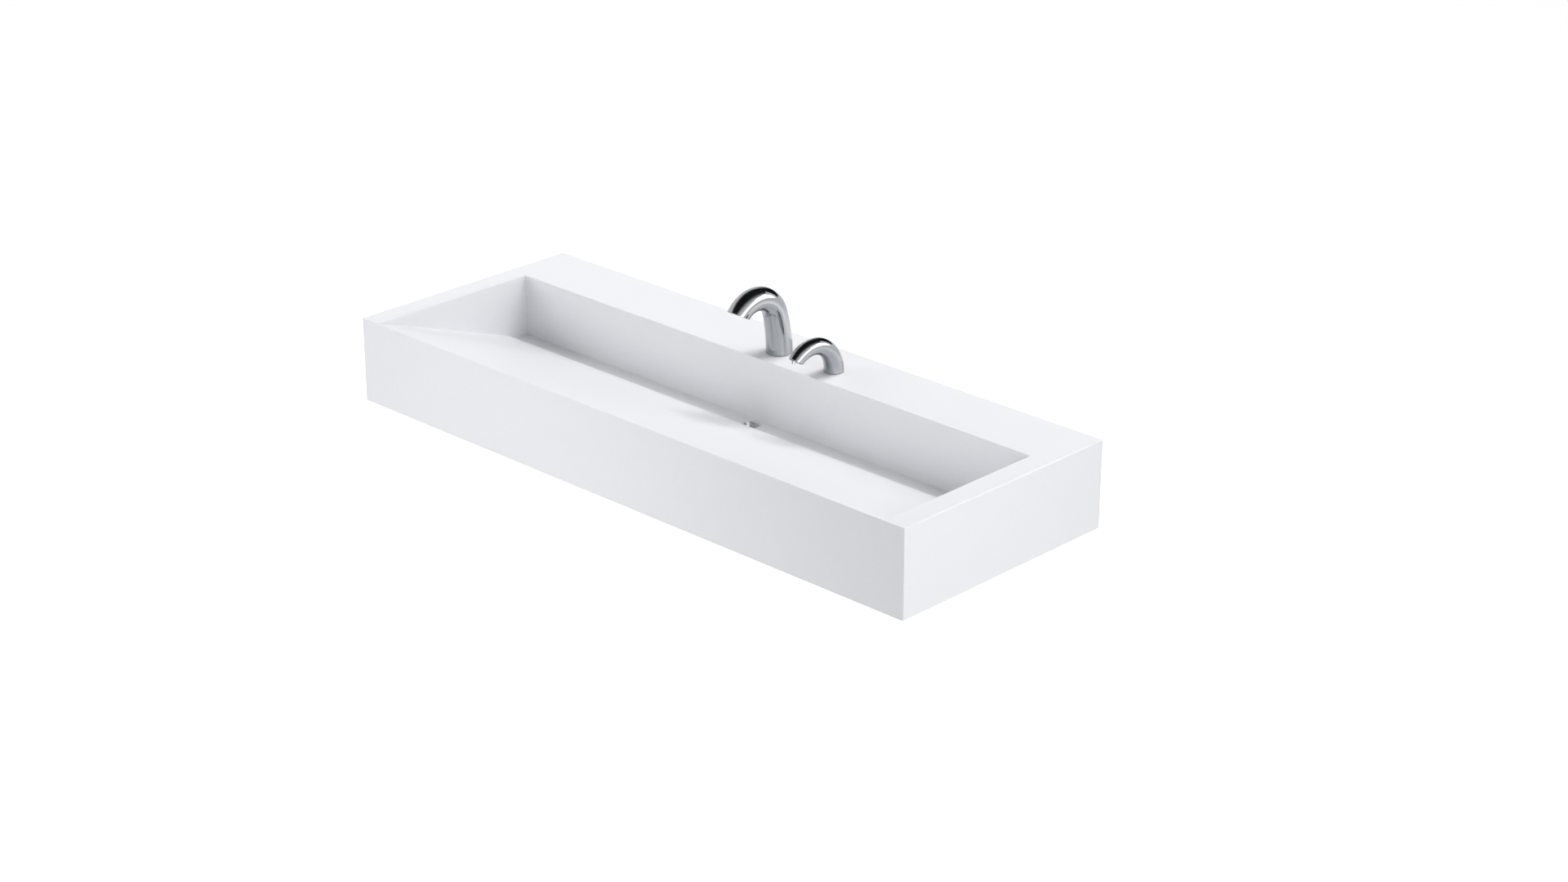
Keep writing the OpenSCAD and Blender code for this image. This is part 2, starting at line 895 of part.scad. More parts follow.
module tap_aerator() {
    color("silver")
        on_outlet(0, tap_end, tap_end_a)
            translate([0, aerator_off, -aerator_len])
                difference() {
                    cylinder(r = aerator_r, h = aerator_len);
                    translate([0, 0, -1])
                        cylinder(r = aerator_r - aerator_wall - 1, h = aerator_len + 2);
                    translate([0, 0, aerator_len - aerator_step])
                        cylinder(r = aerator_r - aerator_wall, h = aerator_step + 1);
                }
}

module tap_aerator_mesh() {
    color("gray")
        on_outlet(0, tap_end, tap_end_a)
            translate([0, aerator_off, -aerator_step])
                difference() {
                    cylinder(r = aerator_r - aerator_wall, h = mesh_t);
                    for (k = [1 : 2], j = [0 : 6 * k - 1])
                        rotate([0, 0, 60 * j / k])
                            translate([k * (aerator_r - aerator_wall) / 3, 0, -1])
                                cylinder(r = mesh_hole_r, h = mesh_t + 2, $fn = 16);
                }
}

// One lens in each outlet plate
module sensor_lenses() {
    color("black") {
        on_outlet(0, tap_end, tap_end_a)
            translate([0, sensor_off, -plate_set - outlet_plate_t])
                cylinder(r = sensor_r, h = outlet_plate_t + lens_out);
        on_outlet(soap_x, soap_end, soap_end_a)
            translate([0, soap_sensor_off, -plate_set - outlet_plate_t])
                cylinder(r = soap_sensor_r, h = outlet_plate_t + lens_out);
    }
}

module tap_shank() {
    color("goldenrod")
        translate([0, -tap_y, z_deck - tap_shank_len])
            ring(
                tap_shank_r, tap_shank_r - shank_wall,
                tap_shank_len + sheet_t + gasket_t + foot_h
            );
}

module tap_washer() {
    color("dimgray")
        translate([0, -tap_y, z_deck - washer_t])
            ring(tap_base_r - washer_over, tap_shank_r + hole_gap, washer_t);
}

module tap_nut() {
    color("goldenrod")
        translate([0, -tap_y, z_deck - washer_t - nut_h])
            hex_nut(2 * (tap_shank_r + nut_wall), tap_shank_r, nut_h);
}

module soap_spout() {
    color("silver") {
        difference() {
            on_ledge(soap_x)
                neck(soap_path, soap_base_r, soap_tip_r, outlet_tilt, 0);
            on_ledge(soap_x)
                neck(soap_path, soap_base_r - soap_wall, soap_plate_r, outlet_tilt, 1, bore_sides);
            on_outlet(soap_x, soap_end, soap_end_a)
                translate([0, 0, -plate_set - outlet_plate_t])
                    cylinder(r = soap_plate_r, h = outlet_cut);
        }
        on_ledge(soap_x)
            translate([0, 0, gasket_t])
                ring(soap_base_r - soap_wall + weld, soap_shank_r, foot_h);
    }
}

module soap_gasket() {
    color("black")
        on_ledge(soap_x)
            ring(soap_base_r - soap_wall - 2 * hole_gap, soap_shank_r, gasket_t);
}

module soap_outlet_plate() {
    color("slategray")
        on_outlet(soap_x, soap_end, soap_end_a)
            translate([0, 0, -plate_set - outlet_plate_t])
                difference() {
                    cylinder(r = soap_plate_r, h = outlet_plate_t);
                    translate([0, nozzle_off, -1])
                        cylinder(r = nozzle_r, h = outlet_plate_t + 2);
                    translate([0, soap_sensor_off, -1])
                        cylinder(r = soap_sensor_r, h = outlet_plate_t + 2);
                }
}

module soap_nozzle() {
    color("silver")
        on_outlet(soap_x, soap_end, soap_end_a)
            translate([0, nozzle_off, -nozzle_in])
                ring(nozzle_r, nozzle_r - nozzle_wall, nozzle_in + nozzle_out);
}

module soap_shank() {
    color("goldenrod")
        translate([soap_x, -tap_y, z_pump1 - pump_thread])
            ring(
                soap_shank_r, soap_shank_r - soap_shank_wall,
                z_top + gasket_t + foot_h - z_pump1 + pump_thread
            );
}

module soap_washer() {
    color("dimgray")
        translate([soap_x, -tap_y, z_deck - washer_t])
            ring(soap_base_r, soap_shank_r + hole_gap, washer_t);
}

module soap_nut() {
    color("dimgray")
        translate([soap_x, -tap_y, z_deck - washer_t - nut_h]) {
            hex_nut(2 * (soap_shank_r + soap_nut_wall), soap_shank_r, nut_h);
            difference() {
                for (a = [0, 180])
                    rotate([0, 0, a])
                        block(
                            [soap_shank_r + 1, -wing_w / 2, 0],
                            [soap_shank_r + soap_nut_wall + wing_out, wing_w / 2, nut_h]
                        );
                translate([0, 0, -1])
                    cylinder(r = soap_shank_r, h = nut_h + 2);
            }
        }
}

module soap_pump() {
    color("lightgray")
        translate([soap_x, -tap_y, z_pump0]) {
            difference() {
                cylinder(r = pump_r, h = pump_h);
                translate([0, 0, pump_h - pump_thread])
                    cylinder(r = soap_shank_r, h = pump_thread + 1);
                translate([0, 0, -1])
                    cylinder(r = bottle_neck_r + move_gap, h = neck_h + 1);
                translate([0, 0, lug_up - bottle_gap - move_gap])
                    cylinder(r = lug_r + move_gap, h = lug_h + 2 * move_gap);
                for (a = [0, 180])
                    rotate([0, 0, a])
                        block([0, -lug_slot / 2, -1], [lug_r + move_gap, lug_slot / 2, lug_up]);
            }
            translate([0, 0, dip_up - bottle_h])
                ring(dip_r, dip_r - dip_wall, bottle_h + neck_h - dip_up + eps);
        }
}

module soap_bottle() {
    color("aliceblue")
        translate([soap_x, -tap_y, z_bottle0]) {
            rotate_extrude($fn = 96)
                polygon([
                    [0, 0], [bottle_r - foot_chamfer, 0], [bottle_r, foot_chamfer],
                    [bottle_r, shoulder_z], [bottle_neck_r, shoulder_z + shoulder_h],
                    [bottle_neck_r, bottle_h + neck_h - 1],
                    [bottle_neck_r - bottle_wall, bottle_h + neck_h - 1],
                    [bottle_neck_r - bottle_wall, shoulder_z + shoulder_h - bottle_wall],
                    [bottle_r - bottle_wall, shoulder_z - bottle_wall],
                    [bottle_r - bottle_wall, foot_chamfer + bottle_wall / 2],
                    [bottle_r - foot_chamfer - bottle_wall / 2, bottle_wall],
                    [0, bottle_wall]
                ]);
            intersection() {
                translate([0, 0, bottle_h + lug_up])
                    ring(lug_r, bottle_neck_r - bottle_wall / 2, lug_h);
                rotate([0, 0, 90])
                    block([-lug_r, -lug_w / 2, bottle_h], [lug_r, lug_w / 2, bottle_h + neck_h]);
            }
        }
}

// ---------------------------------------------------------------- drain

module at_drain(z) {
    translate([0, drain_y, z])
        children();
}

module drain_body() {
    color("silver")
        at_drain(0)
            rotate_extrude($fn = 96)
                polygon([
                    [drain_bore_r, z_floor], [drain_flange_r, z_floor],
                    [drain_flange_r, z_floor - drain_flange_t],
                    [drain_body_r, z_floor - drain_flange_t], [drain_body_r, drain_bottom],
                    [drain_bore_r, drain_bottom], [drain_bore_r, z_seat - seat_t],
                    [seat_r, z_seat - seat_t], [seat_r, z_seat], [drain_bore_r, z_seat]
                ]);
}

module drain_gasket() {
    color("black")
        at_drain(z_under - drain_gasket_t)
            ring(drain_body_r + drain_gasket_w, drain_body_r, drain_gasket_t);
}

module drain_locknut() {
    color("goldenrod")
        at_drain(z_under - drain_gasket_t - locknut_h)
            hex_nut(2 * (drain_body_r + locknut_wall), drain_body_r, locknut_h);
}

module drain_strainer() {
    color("silver")
        at_drain(z_seat)
            difference() {
                cylinder(r = drain_bore_r - move_gap, h = strainer_t, $fn = 96);
                translate([0, 0, -1])
                    cylinder(r = strainer_hole_r, h = strainer_t + 2, $fn = 24);
                for (k = [1 : 2], j = [0 : 6 * k - 1])
                    rotate([0, 0, 60 * j / k])
                        translate([strainer_pitch * k, 0, -1])
                            cylinder(r = strainer_hole_r, h = strainer_t + 2, $fn = 24);
            }
}

module drain_tailpiece() {
    color("silver")
        at_drain(drain_bottom - tail_len)
            difference() {
                union() {
                    cylinder(r = tail_r, h = tail_len, $fn = 96);
                    translate([0, 0, tail_len - slip_lip])
                        cylinder(r = swage_r, h = slip_lip + tail_in, $fn = 96);
                }
                translate([0, 0, -1])
                    cylinder(r = tail_r - tail_wall, h = tail_len + tail_in + 2, $fn = 96);
            }
}

module drain_slip_nut() {
    color("silver")
        at_drain(drain_bottom - slip_lip)
            difference() {
                cylinder(r = (drain_body_r + slip_nut_wall) * 2 / sqrt(3), h = slip_nut_h, $fn = 6);
                translate([0, 0, -1])
                    cylinder(r = swage_r + run_gap, h = slip_nut_h + 2);
                translate([0, 0, slip_lip])
                    cylinder(r = drain_body_r, h = slip_thread + 1);
            }
}

// ---------------------------------------------------------------- service panel

module hinge_rail() {
    color("dimgray")
        block(
            [-tube_x, rail_y1 - rail_d, z_rail],
            [tube_x, rail_y1, z_bracket]
        );
}

// Cylinder along X from x0 to x1, on the hinge axis
module hinge_rod(x0, x1, r) {
    translate([x0, hinge_y, z_hinge])
        rotate([0, 90, 0])
            cylinder(r = r, h = x1 - x0);
}

// A leaf at height z with knuckles over the given [from, to] stretches
module hinge_leaf(z, spans, bore_r) {
    difference() {
        union() {
            block(
                [-hinge_len / 2, rail_y1 - rail_d + knuckle_lap, z],
                [hinge_len / 2, hinge_y - knuckle_r - move_gap, z + leaf_t]
            );
            for (s = spans) {
                block([s[0], rail_y1 - knuckle_lap, z], [s[1], hinge_y, z + leaf_t]);
                hinge_rod(s[0], s[1], knuckle_r);
            }
        }
        hinge_rod(-hinge_len, hinge_len, bore_r);
    }
}

module hinge_leaves_fixed() {
    color("silver")
        for (x = hinge_at)
            translate([x, 0, 0])
                hinge_leaf(
                    z_rail - leaf_t,
                    [
                        [-hinge_len / 2, -knuckle_w / 2 - move_gap],
                        [knuckle_w / 2 + move_gap, hinge_len / 2]
                    ],
                    pin_r
                );
}

module hinge_leaves_moving() {
    color("silver")
        for (x = hinge_at)
            translate([x, 0, 0])
                hinge_leaf(
                    z_panel + panel_t, [[-knuckle_w / 2, knuckle_w / 2]], pin_r + run_gap
                );
}

module hinge_pins() {
    color("gray")
        for (x = hinge_at)
            translate([x, 0, 0])
                hinge_rod(-hinge_len / 2, hinge_len / 2, pin_r);
}

module service_panel() {
    color("lightgray")
        difference() {
            union() {
                block(
                    [-panel_x, panel_y0, z_panel],
                    [panel_x, hinge_y - knuckle_r - panel_hinge_gap, z_panel + panel_t]
                );
                block(
                    [-panel_x, panel_y0, z_panel],
                    [panel_x, panel_y0 + panel_t, z_panel + lip_h]
                );
            }
            for (x = [-lock_x, lock_x])
                translate([x, lock_y, z_panel - 1])
                    cylinder(r = lock_r + run_gap, h = panel_t + 2);
        }
}

module cam_lock() {
    color("silver")
        translate([0, lock_y, 0])
            difference() {
                union() {
                    translate([0, 0, z_panel - lock_play - lock_rim_h])
                        cylinder(r = lock_r + lock_rim, h = lock_rim_h);
                    translate([0, 0, z_panel - 1])
                        cylinder(r = lock_r, h = z_cam - z_panel + 1);
                    translate([0, 0, z_panel + panel_t + lock_play])
                        cylinder(r = lock_r + lock_clip, h = lock_clip);
                    block([-cam_w / 2, -cam_w / 2, z_cam], [cam_reach, cam_w / 2, z_cam + cam_t]);
                    translate([0, 0, z_cam + cam_t])
                        cylinder(r = cam_nut_r, h = cam_nut_h, $fn = 6);
                }
                block(
                    [-lock_slot_l / 2, -lock_slot_w / 2, z_panel - 3],
                    [lock_slot_l / 2, lock_slot_w / 2, z_panel]
                );
            }
}

module cam_lock_left() {
    translate([-lock_x, 0, 0])
        cam_lock();
}

module cam_lock_right() {
    translate([lock_x, 0, 0])
        cam_lock();
}

module lock_keepers() {
    color("dimgray")
        for (x = [-lock_x, lock_x])
            along_x(x - keeper_len / 2, keeper_len)
                polygon([
                    [keeper_y - keeper_t, z_keeper], [keeper_y + keeper_flange, z_keeper],
                    [keeper_y + keeper_flange, z_keeper + keeper_t],
                    [keeper_y, z_keeper + keeper_t], [keeper_y, z_under - keeper_t],
                    [keeper_y + keeper_foot, z_under - keeper_t],
                    [keeper_y + keeper_foot, z_under],
                    [keeper_y - keeper_t, z_under]
                ]);
}

// ---------------------------------------------------------------- controls

// Cylinder along +Y
module rod_y(x, y, z, r, len) {
    translate([x, y, z])
        rotate([-90, 0, 0])
            cylinder(r = r, h = len);
}

// Cylinder along +X
module rod_x(x, y, z, r, len) {
    translate([x, y, z])
        rotate([0, 90, 0])
            cylinder(r = r, h = len);
}

module control_plate() {
    color("dimgray")
        difference() {
            block([plate_x0, y_cavity, z_plate0], [plate_x1, y_plate, z_plate1]);
            for (x = box_screw_x)
                rod_y(x, y_cavity - 1, tab_z, box_screw_r, plate_t + 2);
        }
}

module control_box() {
    color("darkgray")
        difference() {
            union() {
                difference() {
                    block([box_x0, y_plate, z_box], [box_x1, y_box1, z_box + box_h]);
                    block(
                        [box_x0 + box_wall, y_plate + box_wall, z_box - 1],
                        [box_x1 - box_wall, y_box1 - box_wall, z_box + box_h - box_wall]
                    );
                }
                block(
                    [box_x0 - tab_w, y_plate, tab_z - tab_h / 2],
                    [box_x0 + eps, y_plate + tab_t, tab_z + tab_h / 2]
                );
                block(
                    [box_x1 - eps, y_plate, tab_z - tab_h / 2],
                    [box_x1 + tab_w, y_plate + tab_t, tab_z + tab_h / 2]
                );
                for (x = [box_x0, box_x1 - ear_w]) {
                    block([x, y_box1 - 1, z_box], [x + ear_w, door_y, z_box + door_r]);
                    rod_x(x, door_y, z_box, door_r, ear_w);
                }
            }
            rod_x(box_x0 - 1, door_y, z_box, pin_r, box_w + 2);
            for (x = box_screw_x)
                rod_y(x, y_plate - 1, tab_z, box_screw_r, tab_t + 2);
        }
}

module box_screws() {
    color("silver")
        for (x = box_screw_x) {
            rod_y(x, y_cavity, tab_z, box_screw_r, plate_t + tab_t);
            rod_y(x, y_plate + tab_t, tab_z, box_head_r, box_head_h);
        }
}

module battery_pack() {
    color("black")
        block(
            [box_x0 + box_wall, y_plate + box_wall, z_box + battery_up],
            [
                box_x0 + box_wall + battery_w, y_plate + box_wall + battery_d,
                z_box + box_h - box_wall
            ]
        );
}

module circuit_board() {
    color("darkgreen")
        block(
            [box_x0 + box_wall, y_plate + box_wall + board_back, z_box + board_up],
            [
                box_x1 - box_wall, y_plate + box_wall + board_back + board_t,
                z_box + box_h - box_wall
            ]
        );
}

module battery_door() {
    x0 = box_x0 + ear_w + move_gap;
    x1 = box_x1 - ear_w - move_gap;
    color("gray")
        difference() {
            union() {
                block(
                    [box_x0, y_plate + door_gap, z_box - door_r],
                    [box_x1, y_box1, z_box - door_r + door_t]
                );
                block([x0, y_box1 - 1, z_box - door_r], [x1, door_y, z_box - door_r + door_t]);
                rod_x(x0, door_y, z_box, door_r, x1 - x0);
            }
            rod_x(x0 - 1, door_y, z_box, pin_r + run_gap, x1 - x0 + 2);
        }
}

module door_pin() {
    color("silver")
        rod_x(box_x0, door_y, z_box, pin_r, box_w);
}

module valve_body() {
    color("goldenrod")
        difference() {
            union() {
                translate([-valve_x, valve_y, z_valve - valve_h / 2])
                    cylinder(r = valve_r, h = valve_h);
                translate([-valve_x, valve_y, z_valve - port_span / 2])
                    cylinder(r = port_r, h = port_span);
                block(
                    [-valve_x - valve_foot[0] / 2, y_plate, z_valve - valve_foot[1] / 2],
                    [-valve_x + valve_foot[0] / 2, valve_y, z_valve + valve_foot[1] / 2]
                );
                rod_y(-valve_x, valve_y, z_valve, sleeve_r, sleeve_y0 + sleeve_len - valve_y);
            }
            for (z = [-port_span / 2 - 1, port_span / 2 - port_depth])
                translate([-valve_x, valve_y, z_valve + z])
                    cylinder(r = port_bore_r, h = port_depth + 1);
            rod_y(
                -valve_x, sleeve_y0, z_valve, plunger_r + run_gap, sleeve_len - sleeve_end
            );
        }
}

module valve_coil() {
    color("black")
        difference() {
            rod_y(-valve_x, coil_y0, z_valve, coil_r, sleeve_y0 + sleeve_len - coil_y0 - coil_cap);
            rod_y(-valve_x, coil_y0 - 1, z_valve, sleeve_r, sleeve_len + 2);
        }
}

module valve_plunger() {
    color("silver")
        rod_y(
            -valve_x, sleeve_y0 + move_gap, z_valve,
            plunger_r, sleeve_len - sleeve_end - 2 * move_gap - plunger_stroke
        );
}

module mixing_valve() {
    color("goldenrod")
        difference() {
            union() {
                rod_x(mixer_x0, mixer_y, z_mixer, mixer_r, mixer_len);
                for (x = [-inlet_gap / 2, inlet_gap / 2]) {
                    translate([-mixer_x + x, mixer_y, z_inlet])
                        cylinder(r = inlet_r, h = inlet_len + 1);
                    translate([-mixer_x + x, mixer_y, z_inlet + inlet_len])
                        cylinder(r = collar_r, h = z_mixer - z_inlet - inlet_len);
                }
                translate([-mixer_x, mixer_y, z_mixer])
                    cylinder(r = port_r, h = mixer_r + mixer_port);
                block(
                    [-mixer_x - mixer_foot[0] / 2, y_plate, z_mixer - mixer_foot[1] / 2],
                    [-mixer_x + mixer_foot[0] / 2, mixer_y, z_mixer + mixer_foot[1] / 2]
                );
            }
            for (x = [-inlet_gap / 2, inlet_gap / 2])
                translate([-mixer_x + x, mixer_y, z_inlet - 1])
                    cylinder(r = inlet_r - inlet_wall, h = inlet_len + inlet_depth + 1);
            translate([-mixer_x, mixer_y, z_mixer + mixer_r + mixer_port - port_depth])
                cylinder(r = port_bore_r, h = port_depth + 1);
            rod_x(
                mixer_x1 - spindle_len - 1, mixer_y, z_mixer,
                spindle_r + run_gap, spindle_len + 2
            );
        }
}

module mixing_knob() {
    color("red")
        difference() {
            union() {
                rod_x(
                    mixer_x1 - spindle_len, mixer_y, z_mixer, spindle_r, spindle_len + knob_len
                );
                rod_x(mixer_x1 + move_gap, mixer_y, z_mixer, knob_r, knob_len);
            }
            for (j = [1 : flutes])
                translate([mixer_x1 + flute_start, mixer_y, z_mixer])
                    rotate([360 * j / flutes, 0, 0])
                        translate([0, 0, knob_r + flute_out])
                            rotate([0, 90, 0])
                                cylinder(r = flute_r, h = knob_len + 1, $fn = 24);
        }
}

deck_sheet();
slope_sheet();
basin_back();
basin_left();
basin_right();
channel_floor();
front_apron();
left_apron();
right_apron();
bracket_left();
bracket_right();
ledge_tube();
apron_stiffener();
slope_pads();
slope_screws();
slope_inserts();
tap_body();
tap_gasket();
tap_outlet_plate();
tap_aerator();
tap_aerator_mesh();
sensor_lenses();
tap_shank();
tap_washer();
tap_nut();
soap_spout();
soap_gasket();
soap_outlet_plate();
soap_nozzle();
soap_shank();
soap_washer();
soap_nut();
soap_pump();
soap_bottle();
drain_body();
drain_gasket();
drain_locknut();
drain_strainer();
drain_tailpiece();
drain_slip_nut();
hinge_rail();
hinge_leaves_fixed();
hinge_pins();
service_panel();
hinge_leaves_moving();
cam_lock_left();
cam_lock_right();
lock_keepers();
control_plate();
control_box();
box_screws();
battery_pack();
circuit_board();
battery_door();
door_pin();
valve_body();
valve_coil();
valve_plunger();
mixing_valve();
mixing_knob();
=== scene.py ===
import json
import math

import bmesh
import bpy
from mathutils import Matrix, Vector

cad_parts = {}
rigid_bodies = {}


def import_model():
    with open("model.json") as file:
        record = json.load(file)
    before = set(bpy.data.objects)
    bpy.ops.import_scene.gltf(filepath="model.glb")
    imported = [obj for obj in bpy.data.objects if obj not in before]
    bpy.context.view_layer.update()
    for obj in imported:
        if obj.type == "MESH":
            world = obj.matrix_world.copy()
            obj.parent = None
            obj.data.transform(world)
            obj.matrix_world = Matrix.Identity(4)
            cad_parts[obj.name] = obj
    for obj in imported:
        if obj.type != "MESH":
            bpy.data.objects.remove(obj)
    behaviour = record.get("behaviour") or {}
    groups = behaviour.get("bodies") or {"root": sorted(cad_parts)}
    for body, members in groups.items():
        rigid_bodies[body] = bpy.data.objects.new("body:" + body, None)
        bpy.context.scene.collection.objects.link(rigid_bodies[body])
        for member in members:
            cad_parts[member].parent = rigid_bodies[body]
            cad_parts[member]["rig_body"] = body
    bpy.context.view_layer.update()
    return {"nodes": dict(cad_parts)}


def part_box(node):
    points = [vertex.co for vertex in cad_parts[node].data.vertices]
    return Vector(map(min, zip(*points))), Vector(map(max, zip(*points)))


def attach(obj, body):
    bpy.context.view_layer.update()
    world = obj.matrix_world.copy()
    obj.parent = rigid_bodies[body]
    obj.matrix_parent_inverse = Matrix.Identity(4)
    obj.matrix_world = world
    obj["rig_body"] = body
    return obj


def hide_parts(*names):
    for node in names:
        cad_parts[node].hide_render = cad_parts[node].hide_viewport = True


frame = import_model()


# ---------------------------------------------------------------- the trough
# Nine sheets of 12 mm filled-acrylic solid surface, sawn, mitred and bonded with matching
# adhesive, then sanded as one so that no joint shows. The outer edges are eased with a
# router and the inside corners are left crisp.
SHEET = 0.012
HALF_LENGTH = 0.762
DEPTH = 0.5715
BASIN_HALF = 0.711
TOP = 0.099
DECK_UNDER = TOP - SHEET
BOTTOM = -0.088
FLOOR = -0.038
FLOOR_UNDER = FLOOR - SHEET
BACK = -0.158
CAVITY = BACK + SHEET
CHANNEL_WIDTH = 0.039
CHANNEL_DEPTH = 0.137
NOSE_DROP = 0.0056  # how far the foot of the nose lies below the slope's own line
FLOOR_LAP = 0.010  # how far the floor runs on under the slope's toe
NOSE_RADIUS = 0.050
# The slope's angle from level, at which the arc of the nose starts
NOSE_START = math.atan((CHANNEL_DEPTH - NOSE_DROP) / (DEPTH + BACK - CHANNEL_WIDTH))
NOSE_STEPS = 40
EASED_EDGE = 0.0025
TAP_PLACE = Vector((0.0, -0.102, TOP))
TAP_HOLE = 0.0175
SOAP_PLACE = Vector((0.152, -0.102, TOP))
SOAP_HOLE = 0.014
DRAIN_PLACE = Vector((0.0, -0.1865, FLOOR))
DRAIN_HOLE = 0.0185
DRAIN_RECESS = 0.0209
RECESS_DEPTH = 0.0025
RECESS_HEADROOM = 0.025
PAST = 0.01  # how far a cut runs on past the face that it opens
# Well below and behind the trough, whose underside is open
OPEN_BELOW = -0.3
OPEN_BEHIND = 0.1


def linear(hex_colour):
    """An sRGB hex colour as linear red, green, blue and 1."""
    values = [int(hex_colour[i:i + 2], 16) / 255 for i in (1, 3, 5)]
    levels = [v / 12.92 if v <= 0.04045 else ((v + 0.055) / 1.055) ** 2.4 for v in values]
    return (*levels, 1.0)


def add(tree, kind, sockets=None, **settings):
    """Adds a node. A socket is given by name or number, as a value or as an output to link."""
    node = tree.nodes.new(kind)
    for key, value in settings.items():
        setattr(node, key, value)
    for key, value in (sockets or {}).items():
        if isinstance(value, bpy.types.NodeSocket):
            tree.links.new(value, node.inputs[key])
        else:
            node.inputs[key].default_value = value
    return node


def finish(name, colour, roughness, metallic=0.0, ior=1.5, **more):
    """A material with one Principled shader. Returns it with its tree, shader and coordinates."""
    material = bpy.data.materials.new(name)
    material.use_nodes = True
    tree = material.node_tree
    shader = tree.nodes["Principled BSDF"]
    shader.inputs["Base Color"].default_value = linear(colour)
    shader.inputs["Roughness"].default_value = roughness
    shader.inputs["Metallic"].default_value = metallic
    if not metallic:
        shader.inputs["IOR"].default_value = ior
    for key, value in more.items():
        shader.inputs[key.replace("_", " ")].default_value = value
    place = add(tree, "ShaderNodeTexCoord").outputs["Object"]
    return material, tree, shader, place


def mottle(tree, shader, place, size, low, high, socket="Roughness"):
    """Varies a socket of the shader softly between two values, in patches of a size in metres."""
    patches = add(tree, "ShaderNodeTexNoise", {"Vector": place, "Scale": 1 / size, "Detail": 3.0})
    if socket == "Base Color":
        blend = add(tree, "ShaderNodeMix", {
            0: patches.outputs["Fac"], 6: linear(low), 7: linear(high),
        }, data_type="RGBA").outputs[2]
    else:
        blend = add(tree, "ShaderNodeMix", {
            0: patches.outputs["Fac"], 2: low, 3: high,
        }, data_type="FLOAT").outputs[0]
    tree.links.new(blend, shader.inputs[socket])


def new_piece(name, mesh):
    """An object in the scene that holds a mesh, a curve, a lamp or the camera."""
    piece = bpy.data.objects.new(name, mesh)
    bpy.context.scene.collection.objects.link(piece)
    return piece


def prism(name, outline, x0, x1):
    """A closed bar along X whose section is an outline of (y, z) points."""
    count = len(outline)
    points = [(x, y, z) for x in (x0, x1) for y, z in outline]
    sides = [(i, (i + 1) % count, count + (i + 1) % count, count + i) for i in range(count)]
    ends = [tuple(range(count)), tuple(range(2 * count - 1, count - 1, -1))]
    mesh = bpy.data.meshes.new(name)
    mesh.from_pydata(points, [], sides + ends)
    outward(mesh)
    return new_piece(name, mesh)


def outward(mesh, merge=0.0):
    """Turns every face of a closed mesh outwards, and can merge points that lie close by."""
    shape = bmesh.new()
    shape.from_mesh(mesh)
    if merge:
        bmesh.ops.remove_doubles(shape, verts=shape.verts, dist=merge)
    bmesh.ops.recalc_face_normals(shape, faces=shape.faces)
    shape.to_mesh(mesh)
    shape.free()


def drill(name, place, radius, low, high):
    """A closed upright cylinder through a place, between two heights."""
    shape = bmesh.new()
    bmesh.ops.create_cone(
        shape, cap_ends=True, segments=96, radius1=radius, radius2=radius, depth=high - low
    )
    bmesh.ops.translate(shape, verts=shape.verts, vec=(place.x, place.y, (low + high) / 2))
    mesh = bpy.data.meshes.new(name)
    shape.to_mesh(mesh)
    shape.free()
    return new_piece(name, mesh)


def bake(piece):
    """Turns a piece with modifiers into a plain mesh."""
    graph = bpy.context.evaluated_depsgraph_get()
    mesh = bpy.data.meshes.new_from_object(
        piece.evaluated_get(graph), preserve_all_data_layers=True, depsgraph=graph
    )
    piece.modifiers.clear()
    piece.data = mesh
    return piece


def carve(piece, tool, operation="DIFFERENCE"):
    """Cuts a tool from a piece, or joins it to the piece, and uses the tool up."""
    cut = piece.modifiers.new("cut", "BOOLEAN")
    cut.object = tool
    cut.operation = operation
    cut.solver = "EXACT"
    bake(piece)
    bpy.data.objects.remove(tool)


def soften(piece, angle=30):
    """Smooth shading, with a crease wherever two faces meet at more than an angle."""
    for face in piece.data.polygons:
        face.use_smooth = True
    piece.data.set_sharp_from_angle(angle=math.radians(angle))


def slope_height(y, down=0.0):
    """Height of the slope at y, or of the plane that lies a distance down below it."""
    return TOP - (y + DEPTH) * math.tan(NOSE_START) - down / math.cos(NOSE_START)


# The nose's circle touches the slope's line and meets the floor at the nose's foot. Straight
# above its centre, that line lies a rise up, and its parallel through the foot a drop up.
rise = NOSE_RADIUS / math.cos(NOSE_START)
drop = rise - NOSE_DROP
span = math.sqrt(rise ** 2 - drop ** 2)
reach = drop * math.sin(NOSE_START) * math.cos(NOSE_START) + math.cos(NOSE_START) ** 2 * span
nose_y = BACK - CHANNEL_WIDTH - reach
nose_z = slope_height(nose_y, NOSE_RADIUS)
nose_end = math.acos((FLOOR - nose_z) / NOSE_RADIUS)
nose = []
for step in range(NOSE_STEPS + 1):
    angle = NOSE_START + (nose_end - NOSE_START) * step / NOSE_STEPS
    nose.append((nose_y + NOSE_RADIUS * math.sin(angle), nose_z + NOSE_RADIUS * math.cos(angle)))
toe = -DEPTH + (CHANNEL_DEPTH - SHEET / math.cos(NOSE_START)) / math.tan(NOSE_START)
floor_front = toe - FLOOR_LAP

